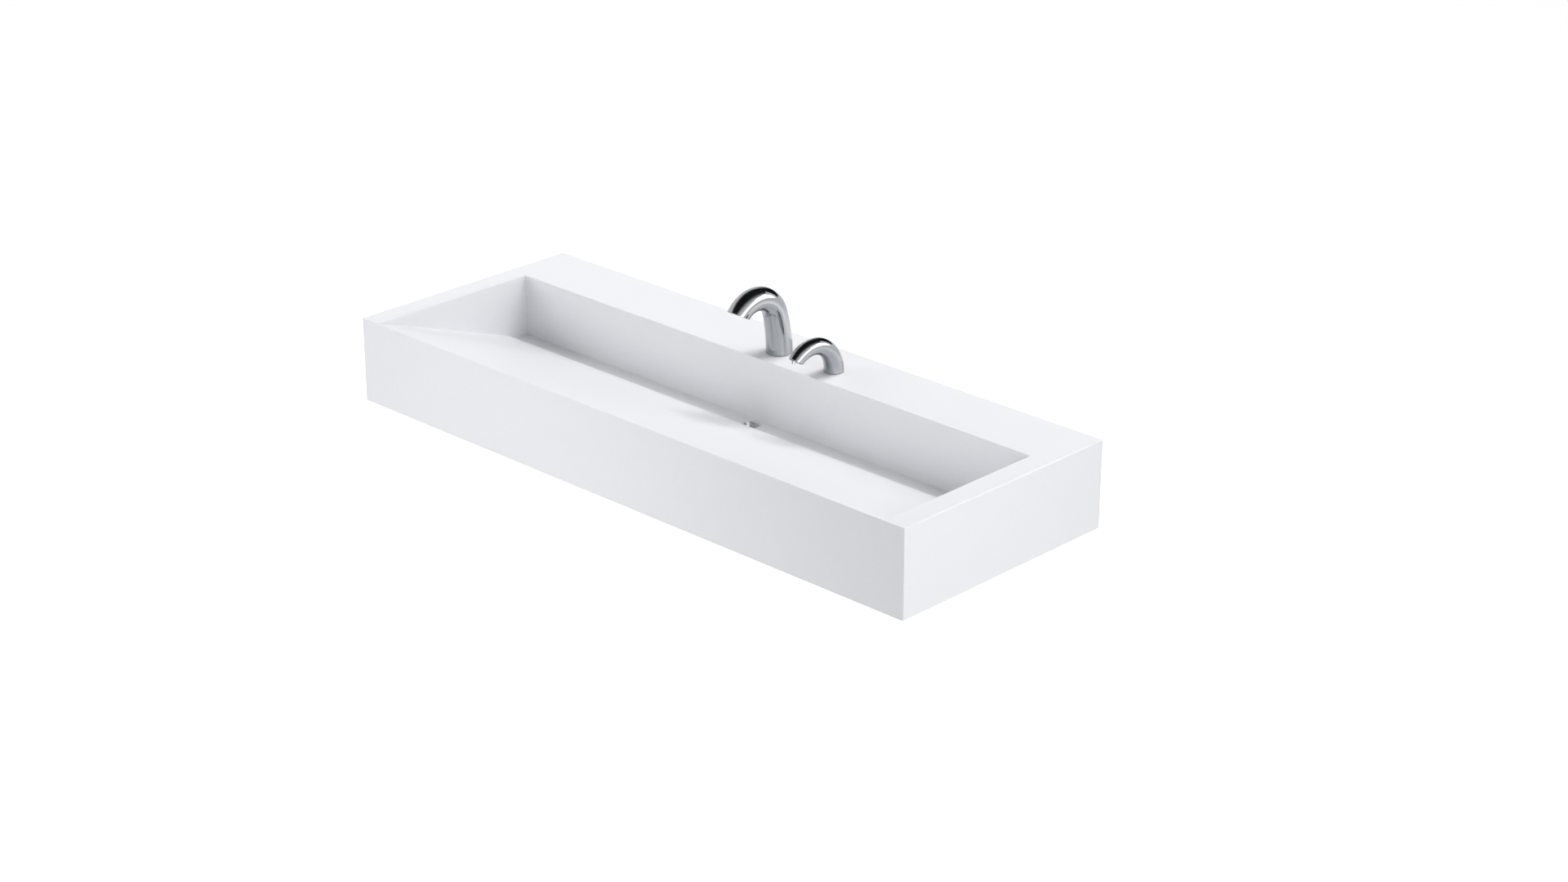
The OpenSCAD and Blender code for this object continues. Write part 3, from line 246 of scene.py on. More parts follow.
inner_front = SHEET - DEPTH
shell = prism(
    "trough_shell", [(-DEPTH, BOTTOM), (0, BOTTOM), (0, TOP), (-DEPTH, TOP)],
    -HALF_LENGTH, HALF_LENGTH,
)
carve(shell, prism(
    "underside",
    [
        (inner_front, OPEN_BELOW), (OPEN_BEHIND, OPEN_BELOW),
        (OPEN_BEHIND, DECK_UNDER), (inner_front, DECK_UNDER),
    ],
    SHEET - HALF_LENGTH, HALF_LENGTH - SHEET,
))
carve(shell, prism(
    "basin_block",
    [
        (-DEPTH + SHEET / 2, FLOOR_UNDER), (CAVITY, FLOOR_UNDER),
        (CAVITY, TOP - SHEET / 2), (-DEPTH + SHEET / 2, TOP - SHEET / 2),
    ],
    -BASIN_HALF - SHEET, BASIN_HALF + SHEET,
), "UNION")
carve(shell, prism(
    "under_slope",
    [
        (inner_front, FLOOR_UNDER - 2 * PAST), (inner_front, slope_height(inner_front, SHEET)),
        (floor_front, slope_height(floor_front, SHEET)), (floor_front, FLOOR_UNDER - 2 * PAST),
    ],
    -BASIN_HALF, BASIN_HALF,
))
carve(shell, prism(
    "basin_room",
    [(-DEPTH - 2 * PAST, slope_height(-DEPTH - 2 * PAST))] + nose + [
        (BACK, FLOOR), (BACK, TOP + 2 * PAST), (-DEPTH - 2 * PAST, TOP + 2 * PAST),
    ],
    -BASIN_HALF, BASIN_HALF,
))

# Joined corners are cleaned up, then every outer edge and the basin's rim is marked and eased
shape = bmesh.new()
shape.from_mesh(shell.data)
bmesh.ops.remove_doubles(shape, verts=shape.verts, dist=2e-5)
bmesh.ops.dissolve_limit(
    shape, angle_limit=math.radians(0.2), verts=shape.verts, edges=shape.edges,
    use_dissolve_boundaries=False,
)
eased = shape.edges.layers.float.new("bevel_weight_edge")
for edge in shape.edges:
    if len(edge.link_faces) == 2 and edge.calc_face_angle_signed() > math.radians(35):
        edge[eased] = 1.0
shape.to_mesh(shell.data)
shape.free()
router = shell.modifiers.new("eased_edges", "BEVEL")
router.limit_method = "WEIGHT"
router.width = EASED_EDGE
router.segments = 4
router.miter_outer = "MITER_ARC"
bake(shell)

# The holes for the tap, the soap spout and the drain are drilled after the edges are eased
carve(shell, drill("tap_drill", TAP_PLACE, TAP_HOLE, DECK_UNDER - PAST, TOP + PAST))
carve(shell, drill("soap_drill", SOAP_PLACE, SOAP_HOLE, DECK_UNDER - PAST, TOP + PAST))
carve(shell, drill(
    "flange_cutter", DRAIN_PLACE, DRAIN_RECESS, FLOOR - RECESS_DEPTH, FLOOR + RECESS_HEADROOM
))
carve(shell, drill("drain_drill", DRAIN_PLACE, DRAIN_HOLE, FLOOR_UNDER - PAST, FLOOR + PAST))
soften(shell)
flat_faces = shell.modifiers.new("flat_faces", "WEIGHTED_NORMAL")
flat_faces.keep_sharp = True
bake(shell)

# Filled acrylic, cast as sheet and sanded: an even, cool white with a low satin sheen. Its
# mineral fill is too fine to see, so it is drawn as faint patches, and the sanding as a
# slight change of sheen.
solid_surface, tree, shader, place = finish("solid_surface_sanded_acrylic", "#EDEEF1", 0.42)
mottle(tree, shader, place, 0.006, "#EBECEF", "#EFF0F3", "Base Color")
mottle(tree, shader, place, 0.09, 0.38, 0.46)
shell.data.materials.append(solid_surface)
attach(shell, "root")
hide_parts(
    "deck_sheet", "slope_sheet", "basin_back", "basin_left", "basin_right",
    "channel_floor", "front_apron", "left_apron", "right_apron",
)


# ---------------------------------------------------------------- the tap and the soap spout
# Hollow brass castings in one gooseneck piece each, ground, buffed and chrome plated. They
# taper from the foot to the outlet, and stand on the ledge on a gasket hidden in the foot.
MERGE = 1e-6  # points closer together than this are one


def neck_path(foot, lower_radius, lower_turn, upper_radius, end_dip):
    """(forward, up) points of a neck: a foot, a wide bend and a tight one, turned in degrees."""
    steps = 40
    closest = 0.0005
    turn = math.radians(lower_turn)
    points = [(0.0, 0.0)]
    for i in range(0 if foot else 1, steps + 1):
        a = turn * i / steps
        points.append((lower_radius * (1 - math.cos(a)), foot + lower_radius * math.sin(a)))
    start = math.pi / 2 - turn
    forward = points[-1][0] + upper_radius * math.sin(start)
    up = points[-1][1] - upper_radius * math.cos(start)
    for i in range(1, 3 * steps + 1):
        h = start - (start + math.radians(end_dip)) * i / (3 * steps)
        points.append((forward - upper_radius * math.sin(h), up + upper_radius * math.cos(h)))
    spaced = points[:1]
    for point in points[1:]:
        if math.dist(point, spaced[-1]) > closest:
            spaced.append(point)
    return spaced


def new_tree(name, **inputs):
    """A geometry tree with inputs given as a name and a kind. Returns it with its sizes."""
    tree = bpy.data.node_groups.new(name, "GeometryNodeTree")
    for label, kind in inputs.items():
        tree.interface.new_socket(label, in_out="INPUT", socket_type="NodeSocket" + kind)
    tree.interface.new_socket("Result", in_out="OUTPUT", socket_type="NodeSocketGeometry")
    return tree, add(tree, "NodeGroupInput").outputs


def finish_tree(tree, geometry, material):
    """Ends a tree: its geometry is made real, gets its material and is the result."""
    real = add(tree, "GeometryNodeRealizeInstances", {"Geometry": geometry})
    coated = add(tree, "GeometryNodeSetMaterial", {
        "Geometry": real.outputs["Geometry"], "Material": material,
    })
    add(tree, "NodeGroupOutput", {0: coated.outputs["Geometry"]})


# The neck's tree sweeps a circle along the path, tapers it by its share of the length, and
# leans the last rings over so that the outlet faces further down than the path does
neck_tree, sizes = new_tree(
    "gooseneck", path="Geometry", foot_radius="Float", outlet_radius="Float",
    outlet_lean="Float", lean_from="Float", sides="Int", plating="Material",
)
share = add(neck_tree, "GeometryNodeSplineParameter").outputs["Factor"]
kept = neck_tree.nodes.new("GeometryNodeCaptureAttribute")
kept.capture_items.new("FLOAT", "Share")
kept.capture_items.new("VECTOR", "Centre")
neck_tree.links.new(sizes["path"], kept.inputs["Geometry"])
neck_tree.links.new(share, kept.inputs["Share"])
neck_tree.links.new(add(neck_tree, "GeometryNodeInputPosition").outputs[0], kept.inputs["Centre"])
taper = add(neck_tree, "ShaderNodeMapRange", {
    "Value": share, "To Min": sizes["foot_radius"], "To Max": sizes["outlet_radius"],
})
circle = add(neck_tree, "GeometryNodeCurvePrimitiveCircle", {
    "Resolution": sizes["sides"], "Radius": 1.0,
})
swept = add(neck_tree, "GeometryNodeCurveToMesh", {
    "Curve": kept.outputs["Geometry"], "Profile Curve": circle.outputs["Curve"],
    "Scale": taper.outputs["Result"],
})
past = add(neck_tree, "ShaderNodeMapRange", {
    "Value": kept.outputs["Share"], "From Min": sizes["lean_from"],
})
eased_in = add(neck_tree, "ShaderNodeMath", {0: past.outputs["Result"], 1: 2.0}, operation="POWER")
lean = add(neck_tree, "ShaderNodeMath", {
    0: eased_in.outputs[0], 1: sizes["outlet_lean"],
}, operation="MULTIPLY")
leaning = add(neck_tree, "ShaderNodeVectorRotate", {
    "Vector": add(neck_tree, "GeometryNodeInputPosition").outputs[0],
    "Center": kept.outputs["Centre"], "Axis": (1.0, 0.0, 0.0), "Angle": lean.outputs[0],
})
moved = add(neck_tree, "GeometryNodeSetPosition", {
    "Geometry": swept.outputs["Mesh"], "Position": leaning.outputs["Vector"],
})
joined = add(neck_tree, "GeometryNodeMergeByDistance", {
    "Geometry": moved.outputs["Geometry"], "Distance": MERGE,
})
finish_tree(neck_tree, joined.outputs["Geometry"], sizes["plating"])


def grain(tree, shader, place, size, height, stretch=None):
    """Raises a fine grain of a size and a height in metres on the surface."""
    if stretch:
        place = add(tree, "ShaderNodeMapping", {"Vector": place, "Scale": stretch}).outputs[0]
    bumps = add(tree, "ShaderNodeTexNoise", {"Vector": place, "Scale": 1 / size, "Detail": 2.0})
    relief = add(tree, "ShaderNodeBump", {
        "Strength": 1.0, "Distance": height, "Height": bumps.outputs["Fac"],
    })
    tree.links.new(relief.outputs["Normal"], shader.inputs["Normal"])


# Bright chromium plate over buffed brass: a mirror with a cool tint. Buffing leaves it
# very slightly wavy, and handling leaves patches that are a little less sharp.
chrome, tree, shader, place = finish("bright_chrome_plate", "#A9ACAF", 0.05, metallic=1.0)
mottle(tree, shader, place, 0.03, 0.035, 0.07)
grain(tree, shader, place, 0.03, 0.00001)


def grown(name, tree, base, **values):
    """The mesh that a tree grows on a base object, as a plain piece in that object's place."""
    growth = base.modifiers.new("growth", "NODES")
    growth.node_group = tree
    for item in tree.interface.items_tree:
        if item.in_out == "INPUT" and item.name in values:
            growth[item.identifier] = values[item.name]
    graph = bpy.context.evaluated_depsgraph_get()
    mesh = bpy.data.meshes.new_from_object(
        base.evaluated_get(graph), preserve_all_data_layers=True, depsgraph=graph
    )
    bpy.data.objects.remove(base)
    outward(mesh, MERGE)
    return new_piece(name, mesh)


def gooseneck(name, place, path, foot_radius, outlet_radius, wall):
    """A hollow casting along a neck's path, that faces forward from its place on the ledge."""
    curve = bpy.data.curves.new(name + "_path", "CURVE")
    curve.dimensions = "3D"
    spline = curve.splines.new("POLY")
    spline.points.add(len(path) - 1)
    for point, (forward, up) in zip(spline.points, path):
        point.co = (place.x, place.y - forward, place.z + up, 1.0)
    piece = grown(
        name, neck_tree, new_piece(name + "_path", curve), foot_radius=foot_radius,
        outlet_radius=outlet_radius, outlet_lean=math.radians(12), lean_from=0.8, sides=96,
        plating=chrome,
    )
    casting = piece.modifiers.new("casting_wall", "SOLIDIFY")
    casting.thickness = wall
    casting.offset = -1.0
    casting.use_even_offset = True
    bake(piece)
    rim = piece.modifiers.new("buffed_rim", "BEVEL")
    rim.limit_method = "ANGLE"
    rim.angle_limit = math.radians(50)
    rim.width = 0.0007
    rim.segments = 3
    bake(piece)
    soften(piece, 40)
    return piece


tap = gooseneck(
    "tap_gooseneck", TAP_PLACE,
    neck_path(foot=0.0, lower_radius=0.320, lower_turn=16, upper_radius=0.06198, end_dip=50),
    foot_radius=0.028, outlet_radius=0.024, wall=0.003,
)
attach(tap, "root")
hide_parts("tap_body")
spout = gooseneck(
    "soap_gooseneck", SOAP_PLACE,
    neck_path(foot=0.004, lower_radius=0.066, lower_turn=0.5, upper_radius=0.066, end_dip=44),
    foot_radius=0.021, outlet_radius=0.0155, wall=0.0025,
)
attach(spout, "root")
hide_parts("soap_spout")


def dress(node, material, edge=0.0004, segments=2, crease=35):
    """A merged copy of a node with its sharp edges broken, which stands for that node."""
    source = frame["nodes"][node]
    shape = bmesh.new()
    shape.from_mesh(source.data)
    bmesh.ops.remove_doubles(shape, verts=shape.verts, dist=MERGE)
    bmesh.ops.dissolve_limit(
        shape, angle_limit=math.radians(0.5), verts=shape.verts, edges=shape.edges,
        use_dissolve_boundaries=False,
    )
    mesh = bpy.data.meshes.new(node + "_finished")
    shape.to_mesh(mesh)
    shape.free()
    piece = new_piece(node + "_finished", mesh)
    broken = piece.modifiers.new("broken_edges", "BEVEL")
    broken.limit_method = "ANGLE"
    broken.angle_limit = math.radians(crease)
    broken.width = edge
    broken.segments = segments
    bake(piece)
    soften(piece, crease)
    flat = piece.modifiers.new("flat_faces", "WEIGHTED_NORMAL")
    flat.keep_sharp = True
    bake(piece)
    piece.data.materials.clear()
    piece.data.materials.append(material)
    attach(piece, source["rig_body"])
    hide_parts(node)


# Grey ABS from a spark-eroded mould: a dull surface with a very fine even grain
grey_abs, tree, shader, place = finish("moulded_grey_abs", "#6A6E72", 0.5, ior=1.54)
mottle(tree, shader, place, 0.012, "#66696E", "#6E7276", "Base Color")
grain(tree, shader, place, 0.0005, 0.00002)

# Acrylic dyed to pass infrared only: black and glossy, with faint wiping marks
dark_window, tree, shader, place = finish("infrared_acrylic_window", "#060507", 0.08, ior=1.49)
mottle(tree, shader, place, 0.004, 0.05, 0.14)

# Stainless sheet and wire as rolled: a satin grey with fine lines along the rolling
stainless, tree, shader, place = finish("rolled_stainless_steel", "#C0C2C4", 0.32, metallic=1.0)
mottle(tree, shader, place, 0.02, 0.26, 0.38)
grain(tree, shader, place, 0.0006, 0.000008, stretch=(0.04, 1.0, 1.0))

dress("tap_outlet_plate", grey_abs, 0.0003)
dress("soap_outlet_plate", grey_abs, 0.0003)
dress("sensor_lenses", dark_window, 0.0005, 3)
dress("tap_aerator", chrome, 0.0003)
dress("tap_aerator_mesh", stainless, 0.0001, 1)
dress("soap_nozzle", chrome, 0.0004)


# ---------------------------------------------------------------- the shanks under the ledge
# A threaded brass tube screwed into each foot passes through the ledge. A rubber gasket seals
# above, and a steel washer and a nut pull the foot down from below: a hexagonal brass nut on
# the tap, and a moulded wing nut on the soap spout.
thread_tree, sizes = new_tree(
    "rolled_thread", blank="Geometry", radius="Float", depth="Float", pitch="Float",
    length="Float", place="Vector", metal="Material",
)
turns = add(thread_tree, "ShaderNodeMath", {
    0: sizes["length"], 1: sizes["pitch"],
}, operation="DIVIDE")
helix = add(thread_tree, "GeometryNodeCurveSpiral", {
    "Resolution": 48, "Rotations": turns.outputs[0], "Start Radius": sizes["radius"],
    "End Radius": sizes["radius"], "Height": sizes["length"],
})
upright = add(thread_tree, "GeometryNodeSetCurveNormal", {
    "Curve": helix.outputs["Curve"],
}, mode="Z_UP")
ridge = add(thread_tree, "GeometryNodeCurvePrimitiveCircle", {
    "Resolution": 4, "Radius": sizes["depth"],
})
rolled = add(thread_tree, "GeometryNodeCurveToMesh", {
    "Curve": upright.outputs["Curve"], "Profile Curve": ridge.outputs["Curve"], "Fill Caps": True,
})
placed = add(thread_tree, "GeometryNodeTransform", {
    "Geometry": rolled.outputs["Mesh"], "Translation": sizes["place"],
})
finish_tree(thread_tree, placed.outputs["Geometry"], sizes["metal"])
RIDGE_SHARE = 0.42  # a ridge's depth as a share of the pitch


def thread(name, place, radius, low, high, pitch, metal):
    """The ridge of a thread round an upright axis, between two heights, that rides on the root."""
    piece = grown(
        name, thread_tree, new_piece(name + "_blank", bpy.data.meshes.new(name)), radius=radius,
        depth=pitch * RIDGE_SHARE, pitch=pitch, length=high - low,
        place=(place.x, place.y, low), metal=metal,
    )
    soften(piece, 20)
    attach(piece, "root")


# Free-turning brass straight off the lathe: warm yellow, with faint rings round the axis
turned_brass, tree, shader, place = finish("turned_brass", "#C2A15C", 0.28, metallic=1.0)
mottle(tree, shader, place, 0.015, "#B8944F", "#C9AA66", "Base Color")
grain(tree, shader, place, 0.0005, 0.00001, stretch=(0.05, 0.05, 1.0))

# Black nitrile rubber, moulded: dull, with a bloom that greys it in patches
rubber, tree, shader, place = finish("moulded_nitrile_rubber", "#1C1C1D", 0.8, ior=1.52)
mottle(tree, shader, place, 0.006, "#171718", "#242425", "Base Color")
grain(tree, shader, place, 0.0007, 0.00002)

# Natural polypropylene, moulded: a soft white that is waxy rather than glossy
white_plastic, tree, shader, place = finish("moulded_polypropylene", "#DADAD5", 0.42, ior=1.49)
mottle(tree, shader, place, 0.02, "#D5D5CF", "#DEDEDA", "Base Color")
grain(tree, shader, place, 0.0009, 0.00001)

NUT_LOW = 0.075
dress("tap_shank", turned_brass, 0.0008)
dress("soap_shank", turned_brass, 0.0006)
thread(
    "tap_shank_thread", TAP_PLACE, radius=0.0140, low=0.0485, high=NUT_LOW, pitch=0.0018,
    metal=turned_brass,
)
thread(
    "soap_shank_thread", SOAP_PLACE, radius=0.0110, low=0.0735, high=NUT_LOW, pitch=0.0014,
    metal=turned_brass,
)
dress("tap_nut", turned_brass, 0.0009, 3)
dress("tap_washer", stainless, 0.0004)
dress("soap_washer", stainless, 0.0004)
dress("tap_gasket", rubber, 0.0003)
dress("soap_gasket", rubber, 0.0003)
dress("soap_nut", white_plastic, 0.0012, 3)


# ---------------------------------------------------------------- the soap pump and its bottle
# A moulded pump screws on to the soap shank, and a blow-moulded polyethylene bottle turns into
# the bayonet in its underside. The pump has grip ribs and a dip tube down to the bottle's foot.
rib_tree, sizes = new_tree(
    "ring_of_grip_ribs", blank="Geometry", ring_radius="Float", rib_radius="Float",
    height="Float", count="Int", place="Vector", plastic="Material",
)
ring = add(rib_tree, "GeometryNodeMeshCircle", {
    "Vertices": sizes["count"], "Radius": sizes["ring_radius"],
})
rib = add(rib_tree, "GeometryNodeMeshCylinder", {
    "Vertices": 10, "Radius": sizes["rib_radius"], "Depth": sizes["height"],
})
ribs = add(rib_tree, "GeometryNodeInstanceOnPoints", {
    "Points": ring.outputs["Mesh"], "Instance": rib.outputs["Mesh"],
})
placed = add(rib_tree, "GeometryNodeTransform", {
    "Geometry": ribs.outputs["Instances"], "Translation": sizes["place"],
})
finish_tree(rib_tree, placed.outputs["Geometry"], sizes["plastic"])

PUMP_RADIUS = 0.030
PUMP_MIDDLE = 0.056
dress("soap_pump", white_plastic, 0.0010, 3)
grip = grown(
    "soap_pump_grip", rib_tree, new_piece("grip_blank", bpy.data.meshes.new("soap_pump_grip")),
    ring_radius=PUMP_RADIUS, rib_radius=0.0009, height=0.022, count=48,
    place=(SOAP_PLACE.x, SOAP_PLACE.y, PUMP_MIDDLE), plastic=white_plastic,
)
soften(grip, 50)
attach(grip, "root")

# Natural polyethylene, blown in a mould: milky and see-through, a little uneven in its sheen
milky_bottle, tree, shader, place = finish(
    "blow_moulded_polyethylene", "#E4EAEC", 0.35, ior=1.53, Transmission_Weight=0.55
)
mottle(tree, shader, place, 0.025, 0.28, 0.42)
dress("soap_bottle", milky_bottle, 0.0008, 2, 30)


# ---------------------------------------------------------------- the drain
# A chrome-plated brass body drops through the channel's floor, and a rubber gasket and a brass
# locknut clamp it from below. A loose punched strainer rests on its seat, and a slip nut holds
# the tailpiece.

# Satin chromium plate over blasted brass: paler than the bright plate, with a soft highlight
satin_chrome, tree, shader, place = finish("satin_chrome_plate", "#DADBDD", 0.22, metallic=1.0)
mottle(tree, shader, place, 0.008, 0.18, 0.28)
grain(tree, shader, place, 0.0008, 0.00001)
dress("drain_body", satin_chrome, 0.0010, 4)
dress("drain_strainer", stainless, 0.0003)
dress("drain_gasket", rubber, 0.0004)
dress("drain_locknut", turned_brass, 0.0009, 3)
dress("drain_tailpiece", satin_chrome, 0.0003)
dress("drain_slip_nut", satin_chrome, 0.0010, 3)
thread(
    "drain_thread", DRAIN_PLACE, radius=0.0181, low=-0.0845, high=-0.0612, pitch=0.0021,
    metal=satin_chrome,
)


# ---------------------------------------------------------------- the brackets under the trough
# Each bracket is a laser-cut steel web, welded to a wall plate and to a sloping flange and
# powder coated. A rubber pad lies on each flange, and button-head screws in brass inserts hold
# the slope down to it.
bead_tree, sizes = new_tree(
    "weld_bead", path="Geometry", ripple="Float", throat="Float", coat="Material"
)
spots = add(bead_tree, "GeometryNodeCurveToPoints", {
    "Curve": sizes["path"], "Length": sizes["ripple"],
}, mode="LENGTH")
ripple = add(bead_tree, "GeometryNodeMeshUVSphere", {
    "Segments": 12, "Rings": 8, "Radius": sizes["throat"],
})
ripples = add(bead_tree, "GeometryNodeInstanceOnPoints", {
    "Points": spots.outputs["Points"], "Instance": ripple.outputs["Mesh"],
    "Rotation": spots.outputs["Rotation"], "Scale": (1.0, 1.0, 0.75),
})
finish_tree(bead_tree, ripples.outputs["Instances"], sizes["coat"])

# Grey polyester powder, baked on: an even colour with a slight orange peel about 1.5 mm across
powder_grey, tree, shader, place = finish("grey_powder_coat", "#5A5C60", 0.45)
mottle(tree, shader, place, 0.03, "#56585C", "#5F6165", "Base Color")
grain(tree, shader, place, 0.0015, 0.00004)

WEB_SIDES = (0.427, 0.433)
PLATE_FACE = -0.006
WELD_LOW = -0.070
WELD_HIGH = 0.070
FLANGE_UNDER = 0.020
FLANGE_FRONT = -0.496
FLANGE_REAR = -0.236
WELD_OFF_WEB = 0.0004
for side, hand in ((-1, "left"), (1, "right")):
    for end, web_face in enumerate(WEB_SIDES):
        away = WELD_OFF_WEB if end else -WELD_OFF_WEB
        x = side * (web_face + away)
        routes = [
            ((x, PLATE_FACE, WELD_LOW), (x, PLATE_FACE, WELD_HIGH)),
            (
                (x, FLANGE_FRONT, slope_height(FLANGE_FRONT, FLANGE_UNDER)),
                (x, FLANGE_REAR, slope_height(FLANGE_REAR, FLANGE_UNDER)),
            ),
        ]
        seam = bpy.data.curves.new("weld_route", "CURVE")
        seam.dimensions = "3D"
        for route in routes:
            spline = seam.splines.new("POLY")
            spline.points.add(1)
            for point, corner in zip(spline.points, route):
                point.co = (*corner, 1.0)
        bead = grown(
            f"bracket_{hand}_weld_{end + 1}", bead_tree, new_piece("weld_route", seam),
            ripple=0.0018, throat=0.0022, coat=powder_grey,
        )
        soften(bead, 60)
        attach(bead, "root")
    dress("bracket_" + hand, powder_grey, 0.0006)
dress("slope_pads", rubber, 0.0005)
dress("slope_screws", stainless, 0.0006, 3)
dress("slope_inserts", turned_brass, 0.0003)


# ---------------------------------------------------------------- the steel bars
# Square steel tubes under the ledge and behind the front apron keep the sheets straight.
# Cold-rolled tube has round corners, and both are powder coated.
dress("ledge_tube", powder_grey, 0.0015, 4)
dress("apron_stiffener", powder_grey, 0.0015, 4)


# ---------------------------------------------------------------- the hinged panel underneath
# A folded sheet, powder coated in the trough's own white, hangs on three steel hinges from a
# rail and is held shut by two quarter-turn locks behind steel keepers.
rivet_tree, sizes = new_tree(
    "rivet_heads", places="Geometry", head_radius="Float", head_height="Float", metal="Material"
)
flat_head = add(rivet_tree, "ShaderNodeCombineXYZ", {
    "X": sizes["head_radius"], "Y": sizes["head_radius"], "Z": sizes["head_height"],
})
dome = add(rivet_tree, "GeometryNodeMeshUVSphere", {"Segments": 24, "Rings": 12, "Radius": 1.0})
heads = add(rivet_tree, "GeometryNodeInstanceOnPoints", {
    "Points": sizes["places"], "Instance": dome.outputs["Mesh"], "Scale": flat_head.outputs[0],
})
finish_tree(rivet_tree, heads.outputs["Instances"], sizes["metal"])

HINGE_X = (-0.500, 0.0, 0.500)
RIVET_Y = -0.0245


def rivets(name, half_apart, height, body):
    """Two rivets to a leaf on each hinge, with their heads at a height, that ride on a body."""
    spots = bpy.data.meshes.new(name)
    points = [(x + side * half_apart, RIVET_Y, height) for x in HINGE_X for side in (-1, 1)]
    spots.from_pydata(points, [], [])
    heads = grown(
        name, rivet_tree, new_piece(name + "_places", spots), head_radius=0.0026,
        head_height=0.0005, metal=stainless,
    )
    soften(heads, 60)
    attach(heads, body)


dress("hinge_rail", powder_grey, 0.0006)
dress("hinge_leaves_fixed", stainless, 0.0002)
dress("hinge_leaves_moving", stainless, 0.0002)
dress("hinge_pins", stainless, 0.0004)
rivets("hinge_rivets_fixed", half_apart=0.014, height=-0.0792, body="root")
rivets("hinge_rivets_moving", half_apart=0.007, height=-0.0806, body="panel")

# Polyester powder over aluminium sheet: an off-white satin with a fine orange peel
powder_white, tree, shader, place = finish("white_powder_coat", "#DEDFE0", 0.4)
mottle(tree, shader, place, 0.05, "#DADBDC", "#E1E2E3", "Base Color")
grain(tree, shader, place, 0.0015, 0.00003)
dress("service_panel", powder_white, 0.0004)
dress("cam_lock_left", chrome, 0.0004)
dress("cam_lock_right", chrome, 0.0004)
dress("lock_keepers", powder_grey, 0.0003)


# ---------------------------------------------------------------- the battery box and its board
# A plate screwed behind the basin carries the controls. A moulded box, open below, holds three
# dry cells in a holder and a small circuit board, and a hinged door on a steel pin closes it.
def turned(name, profile, place):
    """An upright turned solid whose (radius, height) outline starts and ends on its axis."""
    outline = bpy.data.meshes.new(name)
    points = [(radius, 0.0, height) for radius, height in profile]
    outline.from_pydata(points, [(i, i + 1) for i in range(len(points) - 1)], [])
    piece = new_piece(name, outline)
    lathe = piece.modifiers.new("lathe", "SCREW")
    lathe.steps = 48
    lathe.render_steps = 48
    lathe.use_merge_vertices = True
    lathe.merge_threshold = MERGE
    bake(piece)
    outward(piece.data, MERGE)
    piece.data.transform(Matrix.Translation(place))
    return piece


def together(name, pieces):
    """Several pieces of one material as one mesh."""
    shape = bmesh.new()
    for piece in pieces:
        shape.from_mesh(piece.data)
        bpy.data.objects.remove(piece)
    mesh = bpy.data.meshes.new(name)
    shape.to_mesh(mesh)
    shape.free()
    return new_piece(name, mesh)


def brick(low, high):
    """A small rectangular block between two corners, with its edges broken."""
    piece = prism(
        "brick", [(low[1], low[2]), (high[1], low[2]), (high[1], high[2]), (low[1], high[2])],
        low[0], high[0],
    )
    broken = piece.modifiers.new("broken_edges", "BEVEL")
    broken.width = 0.0002
    broken.segments = 2
    return bake(piece)


def fitted(piece, material, slot, *nodes):
    """Finishes a piece of the controls, which all ride on the root."""
    piece.data.materials.append(material)
    soften(piece, 35)
    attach(piece, "root")
    if nodes:
        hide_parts(*nodes)


dress("control_plate", powder_grey, 0.0004)
dress("control_box", grey_abs, 0.0006, 3)
dress("battery_door", grey_abs, 0.0006, 3)
dress("door_pin", stainless, 0.0004)
dress("box_screws", stainless, 0.0005, 3)

# Black nylon, moulded: dull, with a very fine grain, and greyed a little in patches
black_nylon, tree, shader, place = finish("moulded_black_nylon", "#141416", 0.45, ior=1.53)
mottle(tree, shader, place, 0.01, "#101012", "#1A1A1C", "Base Color")
grain(tree, shader, place, 0.0006, 0.00002)

# Shrink sleeve round each cell: plain dark blue, smooth and slightly glossy
shrink_sleeve, tree, shader, place = finish("shrink_sleeve_dark_blue", "#22304A", 0.3, ior=1.53)
mottle(tree, shader, place, 0.012, "#1E2B44", "#273650", "Base Color")

# Three dry cells stand side by side between the walls of the black holder
CELLS = 3
WALL = 0.0013
CELL_ROOM = 0.0003
CELL_LENGTH = 0.050
CELL_FOOT = 0.008
low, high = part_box("battery_pack")
cell_pitch = (high.x - low.x - 2 * WALL) / CELLS
cell_radius = cell_pitch / 2 - CELL_ROOM
cell_low = low.z + CELL_FOOT
cell_y = low.y + WALL + cell_radius
sleeve_outline = [
    (0.0, 0.0), (cell_radius - 0.0012, 0.0), (cell_radius, 0.0012),
    (cell_radius, CELL_LENGTH - 0.0032), (cell_radius - 0.0008, CELL_LENGTH - 0.002),
    (0.0, CELL_LENGTH - 0.002),
]
button_outline = [
    (0.0, CELL_LENGTH - 0.0025), (0.0036, CELL_LENGTH - 0.0025),
    (0.0036, CELL_LENGTH - 0.0004), (0.0030, CELL_LENGTH), (0.0, CELL_LENGTH),
]
sleeves, buttons = [], []
for i in range(CELLS):
    spot = (low.x + WALL + cell_pitch * (i + 0.5), cell_y, cell_low)
    sleeves.append(turned("cell", sleeve_outline, spot))
    buttons.append(turned("cell_button", button_outline, spot))
fitted(together("battery_cells", sleeves), shrink_sleeve, "black_plastic")
fitted(together("battery_cell_buttons", buttons), stainless, "stainless_steel")
holder = [
    brick((low.x, low.y, low.z), (high.x, low.y + WALL, high.z)),
    brick((low.x, low.y + WALL, low.z), (low.x + WALL, high.y, high.z)),
    brick((high.x - WALL, low.y + WALL, low.z), (high.x, high.y, high.z)),
    brick((low.x + WALL, low.y + WALL, cell_low + CELL_LENGTH), (high.x - WALL, high.y, high.z)),
    brick((low.x + WALL, low.y + WALL, low.z), (high.x - WALL, high.y, cell_low)),
]
